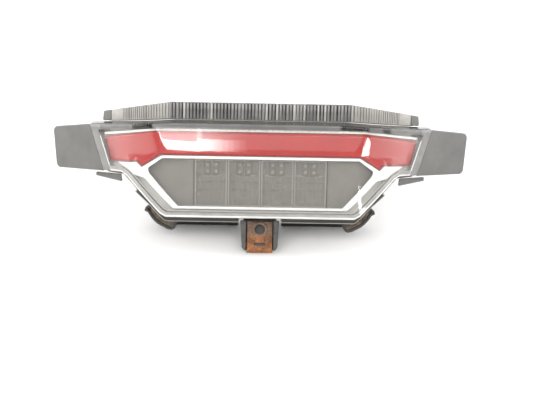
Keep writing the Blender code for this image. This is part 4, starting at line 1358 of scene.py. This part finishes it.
def axis_of(node):
    """Middle of the front of a turned CAD node, as a frame whose z axis points backwards."""
    low, high = lamp_box(node)
    return Matrix.Translation(((low.x + high.x) / 2, low.y, (low.z + high.z) / 2)) @ BACKWARDS


def thread_radius(pitch, depth, start, stop):
    """A screw thread between two distances along an axis."""
    def radius_at(radius, along, angle):
        if not start < along < stop:
            return radius
        phase = (along / pitch - angle / (2 * math.pi)) % 1.0
        return radius - depth * abs(2 * phase - 1.0)
    return radius_at


def make_studs():
    """Threaded studs on their flanges, each with a grooved rubber grommet."""
    for word in ("left", "right"):
        work = bmesh.new()
        node = "mounting_stud_" + word
        steps = 110
        profile = [(0.0, 0.0), (6.2, 0.0), (6.5, 0.3), (6.5, 1.7), (6.2, 2.0), (3.4, 2.0), (3.0, 2.3)]
        profile += [(3.0, 2.5 + 13.9 * i / steps) for i in range(steps + 1)]
        profile += [(2.6, 16.75), (2.2, 17.0), (0.0, 17.0)]
        thread = thread_radius(1.0, 0.5, 7.6, 16.3)
        add_turned(work, profile, axis_of(node), 36, radius_at=thread)
        face_outwards(work)
        put(node.replace("mounting", "threaded"), work, [ZINC], "zinc_steel", [node], sharp=40.0)
        grommet = "stud_grommet_" + word
        work = bmesh.new()
        outer = [(3.3, 0.0), (7.1, 0.0), (7.5, 0.35), (7.5, 1.1), (7.2, 1.4), (6.0, 1.7), (5.9, 2.0)]
        outer += [(5.9, 2.9), (6.1, 3.2), (7.2, 3.5), (7.5, 3.8), (7.5, 4.6), (7.1, 5.0)]
        outer += [(4.0, 5.0), (3.3, 4.7)]
        rows = add_turned(work, outer, axis_of(grommet), 48)
        join_rows(work, rows[-1], rows[0])
        face_outwards(work)
        put("grommet_" + word, work, [RUBBER], "rubber", [grommet])


def recessed_screw(node, name, matrix, radius, height):
    """Pan-head screw with a cross recess."""
    profile = [(0.0, 0.0), (radius, 0.0), (radius, 0.35 * height)]
    steps = 5
    for step in range(1, steps):
        angle = math.pi / 2 * step / steps
        profile.append((radius * math.cos(angle), height * (0.35 + 0.65 * math.sin(angle))))
    profile.append((0.0, height))
    head = turned_mesh(profile, Matrix.Identity(4), 32)
    arm = 0.62 * radius
    half = 0.13 * radius
    deep = 0.4 * height
    cross = [
        box_mesh((-arm, -half, deep), (arm, half, height + 1.0)),
        box_mesh((-half, -arm, deep), (half, arm, height + 1.0)),
    ]
    mesh = merged(head, cross)
    mesh.transform(matrix)
    put_mesh(name, mesh, [ZINC], "zinc_steel", [node])


def make_screws():
    """Screws of the lens, on the back, and of the tongue's flange, underneath."""
    for row in ("upper", "lower"):
        for word in ("left", "right"):
            node = "lens_screw_" + row + "_" + word
            name = "cover_screw_" + row + "_" + word
            recessed_screw(node, name, axis_of(node), 3.2, 2.2)
    for word in ("left", "right"):
        node = "tongue_screw_" + word
        low, high = lamp_box(node)
        place = ((low.x + high.x) / 2, (low.y + high.y) / 2, high.z)
        matrix = Matrix.Translation(place) @ DOWNWARDS
        recessed_screw(node, "flange_screw_" + word, matrix, 2.9, 2.0)


def make_breather():
    """Rubber breather cap with a ring of vents."""
    profile = [(0.0, 0.0), (4.2, 0.0), (4.2, 1.2), (5.1, 1.4), (5.4, 1.8), (5.4, 3.4), (5.1, 4.0)]
    profile += [(4.4, 4.4), (2.4, 4.4), (2.2, 4.0), (0.0, 4.0)]

    def scallop(radius, along, angle):
        return radius - (0.35 if math.cos(8 * angle) > 0.5 and radius > 5.0 else 0.0)

    work = bmesh.new()
    add_turned(work, profile, axis_of("breather_cap"), 64, radius_at=scallop)
    face_outwards(work)
    put("breather", work, [RUBBER], "rubber", ["breather_cap"])


def make_socket():
    """Plug socket: a shroud with a latch window and two key slots, and three blade pins."""
    low, high = lamp_box("socket_shroud")
    wall = 1.5
    shroud = box_mesh(low, high, 0.8)
    hollow = box_mesh(low + Vector((wall, 2.0, wall)), high + Vector((-wall, 1.0, -wall)), 0.4)
    latch = Vector(((low.x + high.x) / 2, high.y, high.z))
    window = box_mesh(latch + Vector((-3.0, -6.0, -3.0)), latch + Vector((3.0, -3.5, 1.0)))
    keys = [
        box_mesh((low.x + 5.0, high.y - 8.0, low.z - 1.0), (low.x + 6.4, high.y + 1.0, low.z + 1.0)),
        box_mesh((high.x - 6.4, high.y - 8.0, low.z - 1.0), (high.x - 5.0, high.y + 1.0, low.z + 1.0)),
    ]
    body = merged(shroud, [hollow, window] + keys)
    put_mesh("plug_shroud", body, [BLACK], "black_abs", ["socket_shroud"])
    for number in range(1, 4):
        node = "socket_pin_" + str(number)
        pin = box_mesh(*lamp_box(node), 0.22)
        put_mesh("blade_pin_" + str(number), pin, [BRASS], "tinned_brass", [node])


# ---------------------------------------------------------------- mounting tongue and clip nut


def roughened(mesh, amount, size, seed):
    """Move the points of a mesh along their normals by cloudy noise."""
    shift = Vector((seed, 2.0 * seed, 3.0 * seed))
    normals = [vertex.normal.copy() for vertex in mesh.vertices]
    for vertex, normal in zip(mesh.vertices, normals):
        coarse = noise.noise(vertex.co / size + shift)
        fine = noise.noise(vertex.co / (0.3 * size) - shift)
        vertex.co += normal * amount * (coarse + 0.5 * fine)
    return mesh


def remeshed(mesh, voxel):
    """The mesh rebuilt from small even faces."""
    holder = linked_object("remesh_holder", mesh)
    step = holder.modifiers.new("even", "REMESH")
    step.mode = "VOXEL"
    step.voxel_size = voxel
    smooth = holder.modifiers.new("smooth", "SMOOTH")
    smooth.factor = 0.5
    smooth.iterations = 2
    return baked(holder)


def make_tongue():
    """Channel-shaped tongue with a screwed flange, and a bolt hole backed by a dark plate that stands
    in for the shade seen through the hole.
    """
    half_top = 11.7
    half_tip = 10.6
    length = 17.2
    outline = mirrored([(half_top, 0.0), (half_tip, -length + 1.5), (half_tip - 1.5, -length)])
    rings = rings_of(outline, solid_pairs(-2.0, 4.4, 0.45, 0.45), radius=0.8)
    plate = mesh_from(loft([rings], sweep=no_sweep))
    channel = box_mesh((-8.2, -3.0, -length - 1.0), (8.2, 2.0, 1.0), 0.5)
    radius = CLIP_HOLE_RADIUS + 0.6
    bore = [(0.0, 0.0), (radius, 0.0), (radius, 12.0), (0.0, 12.0)]
    hole = turned_mesh(bore, Matrix.Translation((0.0, -4.0, CLIP_HOLE_Z)) @ BACKWARDS, 40)
    flange = bmesh.new()
    add_box(flange, (-10.0, 3.0, -2.6), (10.0, 24.0, 0.2), 0.5)
    flange.transform(Matrix.Rotation(TONGUE_LEAN, 4, "X"))
    # A dark plate behind the bolt hole stands in for the shade seen through it.
    add_box(flange, (-4.6, 4.0, -9.6), (4.6, 5.6, -0.9), 0.2, 1)
    body = merged(plate, [channel, hole])
    body = merged(body, [mesh_from(flange)], "UNION")
    body = roughened(remeshed(body, voxel=0.32), amount=0.10, size=1.6, seed=3.1)
    node = "mounting_tongue"
    put_mesh("tongue_channel", body, [TONGUE_BLACK], "black_abs", [node], TONGUE_MM, weighted=False)


def fold_outline(front, back, top, tip, back_top, sheet, bend_radius):
    """Side view of the folded sheet: down the front leaf, round the tip and up the back leaf."""
    outer = []
    inner = []
    steps = 6
    for centre_y, start in ((front + bend_radius, math.pi), (back - bend_radius, 1.5 * math.pi)):
        for step in range(steps + 1):
            angle = start + math.pi / 2 * step / steps
            spoke = Vector((math.cos(angle), math.sin(angle)))
            centre = Vector((centre_y, tip + bend_radius))
            outer.append(centre + spoke * bend_radius)
            inner.append(centre + spoke * (bend_radius - sheet))
    back_end = [(back, back_top), (back - sheet, back_top)]
    return [(front, top)] + outer + back_end + inner[::-1] + [(front + sheet, top)]


def make_clip_nut():
    """Rusty clip nut: a folded sheet with a drawn collar, a slot and crusty edges."""
    low, high = node_box("clip_nut", TONGUE_MM)
    sheet = 1.2
    front = high.y - 2 * sheet - 3.0
    half = high.x
    fold = fold_outline(front, high.y, high.z, low.z + 0.25, -11.0, sheet, sheet + 0.45)
    work = bmesh.new()
    ends = (-half + 0.12, half - 0.12)
    rows = [[work.verts.new((x, y, z)) for y, z in fold] for x in ends]
    join_rows(work, *rows)
    for row in rows:
        work.faces.new(row)
    face_outwards(work)
    body = mesh_from(work)
    hole = CLIP_HOLE_RADIUS
    rim = front - 1.0
    collar_profile = [(0.0, front + 0.6), (5.0, front + 0.6), (4.9, front - 0.1), (4.5, front - 0.35)]
    collar_profile += [(4.3, rim + 0.35), (4.0, rim + 0.12), (0.0, rim + 0.12)]
    upright = Matrix.Translation((0.0, 0.0, CLIP_HOLE_Z)) @ BACKWARDS
    collar = turned_mesh(collar_profile, upright, 48)
    bore = [(0.0, -5.0), (hole, -5.0), (hole, 9.0), (0.0, 9.0)]
    hollow = turned_mesh(bore, upright, 48)
    slot = box_mesh((-3.5, front - 1.0, -15.1), (3.5, front + sheet + 0.3, -13.3), 0.4)
    body = merged(body, [collar], "UNION")
    body = merged(body, [hollow, slot])
    nubs = bmesh.new()
    chance = random.Random(11)
    for _ in range(16):
        x = chance.uniform(-half + 1.0, half - 1.0)
        size = chance.uniform(0.35, 0.7)
        y = front + 0.3 + chance.uniform(0.0, 0.6)
        z = low.z + 0.75 + chance.uniform(0.0, 1.0)
        shape = Matrix.Translation((x, y, z)) @ Matrix.Diagonal((size, 0.6 * size, 0.7 * size, 1.0))
        bmesh.ops.create_icosphere(nubs, subdivisions=2, radius=1.0, matrix=shape)
    whole = bmesh.new()
    whole.from_mesh(body)
    whole.from_mesh(mesh_from(nubs))
    body = roughened(remeshed(mesh_from(whole), voxel=0.2), amount=0.13, size=1.1, seed=5.7)
    put_mesh("rusty_clip_nut", body, [RUST], "rusty_steel", ["clip_nut"], TONGUE_MM, weighted=False)


def dress_boards():
    """The circuit boards keep their CAD shape and get a solder-mask material."""
    for node in ("brake_board", "tail_board", "upper_board"):
        mesh = frame["nodes"][node].data
        mesh.materials.clear()
        mesh.materials.append(BOARD)


# ---------------------------------------------------------------- stage, light and camera


def make_stage():
    """Pale floor that curves up into a pale wall behind the lamp."""
    front = -2.2
    behind = 0.80
    curve = 0.20
    height = 1.6
    half_width = 2.0
    steps = 12
    profile = [(front, 0.0), (behind - curve, 0.0)]
    for step in range(1, steps + 1):
        angle = math.pi / 2 * step / steps
        profile.append((behind - curve + curve * math.sin(angle), curve * (1.0 - math.cos(angle))))
    profile.append((behind, height))
    mesh = bpy.data.meshes.new("stage_sweep")
    points = [(x, y, z) for x in (-half_width, half_width) for y, z in profile]
    count = len(profile)
    faces = [(i, i + 1, count + i + 1, count + i) for i in range(count - 1)]
    mesh.from_pydata(points, [], [tuple(reversed(face)) for face in faces])
    mesh.shade_smooth()
    sheet = linked_object("stage_sweep", mesh)
    paint = surface(
        "stage_paint", (0.90, 0.893, 0.88), (0.94, 0.933, 0.92), patch=90.0, roughness=(0.7, 0.8),
        grain=1.5, relief_mm=0.05,
    )
    mesh.materials.append(paint)


# The window that the lens reflects on the left: a bright line, and a dimmer one above it.
WINDOW_LEFT = -22.15
WINDOW_WIDTH = 0.85
WINDOW_AWAY = 1.5
WINDOW_ROLL = 2.0
WINDOW_LIGHT = 16.0
WINDOW_LIGHT_ABOVE = 4.2
WINDOW_FADE = (0.86, 0.72, 0.57, 0.43, 0.30, 0.19, 0.10, 0.04)
WINDOW_FADE_FROM = -6.3
WINDOW_FADE_STEP = 0.62
LENS_MIDDLE = LAMP @ Vector((0.0, 0.0, 0.015))
RIGHT_BEND = LAMP @ Vector((0.0605, 0.0015, 0.015))


def panel(
    name, azimuth, elevation, distance, width, height, radiance, roll=0.0, colour=(1.0, 1.0, 1.0),
    around=LENS_MIDDLE, gloss_only=False,
):
    """A studio softbox that faces the lamp; azimuth is to the right of straight ahead, in degrees.

    The distance, width and height are in metres. A gloss-only panel shows in reflections alone.
    """
    light = bpy.data.lights.new(name, "AREA")
    light.shape = "RECTANGLE"
    light.size = width
    light.size_y = height
    light.energy = radiance * math.pi * width * height
    light.color = colour
    holder = linked_object(name, light)
    across = math.radians(azimuth)
    up = math.radians(elevation)
    heading = Vector((math.sin(across) * math.cos(up), -math.cos(across) * math.cos(up), math.sin(up)))
    turned = heading.to_track_quat("Z", "Y").to_matrix().to_4x4()
    spin = Matrix.Rotation(math.radians(roll), 4, "Z")
    holder.matrix_world = Matrix.Translation(around + heading * distance) @ turned @ spin
    holder.visible_camera = False
    holder.visible_diffuse = not gloss_only


def make_lights():
    """Soft light from above and in front, side panels, and the windows that the lens reflects."""
    panel("front_high", -12.0, 36.0, 1.2, 1.4, 0.55, 5.2, colour=(1.0, 0.99, 0.97))
    panel("front_fill", 34.0, 36.0, 1.3, 0.9, 0.6, 1.6)
    panel("overhead", 180.0, 80.0, 1.1, 1.0, 0.8, 1.0)
    left, away, wide, roll = WINDOW_LEFT, WINDOW_AWAY, WINDOW_WIDTH, WINDOW_ROLL
    panel("window_left", left, 12.86, away, wide, 0.023, WINDOW_LIGHT, roll)
    panel("window_left_above", left, 14.1, away, wide, 0.045, WINDOW_LIGHT_ABOVE, roll)
    panel("room_beyond", 0.5, 13.9, 1.7, 0.70, 0.066, 0.8)
    width = away * math.radians(WINDOW_FADE_STEP)
    for step, share in enumerate(WINDOW_FADE):
        azimuth = WINDOW_FADE_FROM + (step + 0.5) * WINDOW_FADE_STEP
        name = "window_left_end_" + str(step + 1)
        panel(name, azimuth, 13.1, away, width, 0.03, WINDOW_LIGHT * share)
        panel(name + "_above", azimuth, 14.5, away, width, 0.045, WINDOW_LIGHT_ABOVE * share)
    panel(
        "window_right", 42.5, -0.6, 0.5, 0.222, 0.024, 13.0, roll=-22.5,
        around=RIGHT_BEND, gloss_only=True,
    )
    panel("side_left", -98.0, 18.0, 1.1, 1.1, 0.8, 2.6)
    panel("side_right", 98.0, 18.0, 1.1, 1.1, 0.8, 2.6)
    world = bpy.data.worlds.new("room")
    world.use_nodes = True
    tree = world.node_tree
    background = tree.nodes["Background"]
    background.inputs["Color"].default_value = (0.95, 0.97, 1.0, 1.0)
    background.inputs["Strength"].default_value = 0.42
    bpy.context.scene.world = world


def make_camera():
    """Camera in front of the lamp and above it, with a slight roll."""
    level = Vector((-math.sin(CAMERA_AZIMUTH), math.cos(CAMERA_AZIMUTH), 0.0))
    ahead = level * math.cos(CAMERA_ELEVATION) - Vector((0.0, 0.0, math.sin(CAMERA_ELEVATION)))
    right = Vector((level.y, -level.x, 0.0))
    up = right.cross(ahead)
    rolled_right = right * math.cos(CAMERA_ROLL) + up * math.sin(CAMERA_ROLL)
    rolled_up = up * math.cos(CAMERA_ROLL) - right * math.sin(CAMERA_ROLL)
    camera = bpy.data.cameras.new("camera")
    camera.lens = CAMERA_LENS
    camera.clip_start = 0.01
    holder = linked_object("camera", camera)
    place = Vector(CAMERA_TARGET) - ahead * CAMERA_DISTANCE
    axes = Matrix((rolled_right, rolled_up, -ahead)).transposed().to_4x4()
    holder.matrix_world = Matrix.Translation(place) @ axes
    bpy.context.scene.camera = holder


make_lens_cover()
make_wings()
make_side_tabs()
make_fluted_band()
make_end_blocks()
make_baffle()
make_tail_strip()
make_light_guide()
make_bezel()
make_pane()
make_surround()
make_tray()
make_reflector_cells()
make_leds()
make_housing()
make_gasket()
make_studs()
make_screws()
make_breather()
make_socket()
make_tongue()
make_clip_nut()
dress_boards()
make_stage()
make_lights()
make_camera()
bpy.context.scene.view_settings.view_transform = "Standard"

bpy.context.view_layer.update()
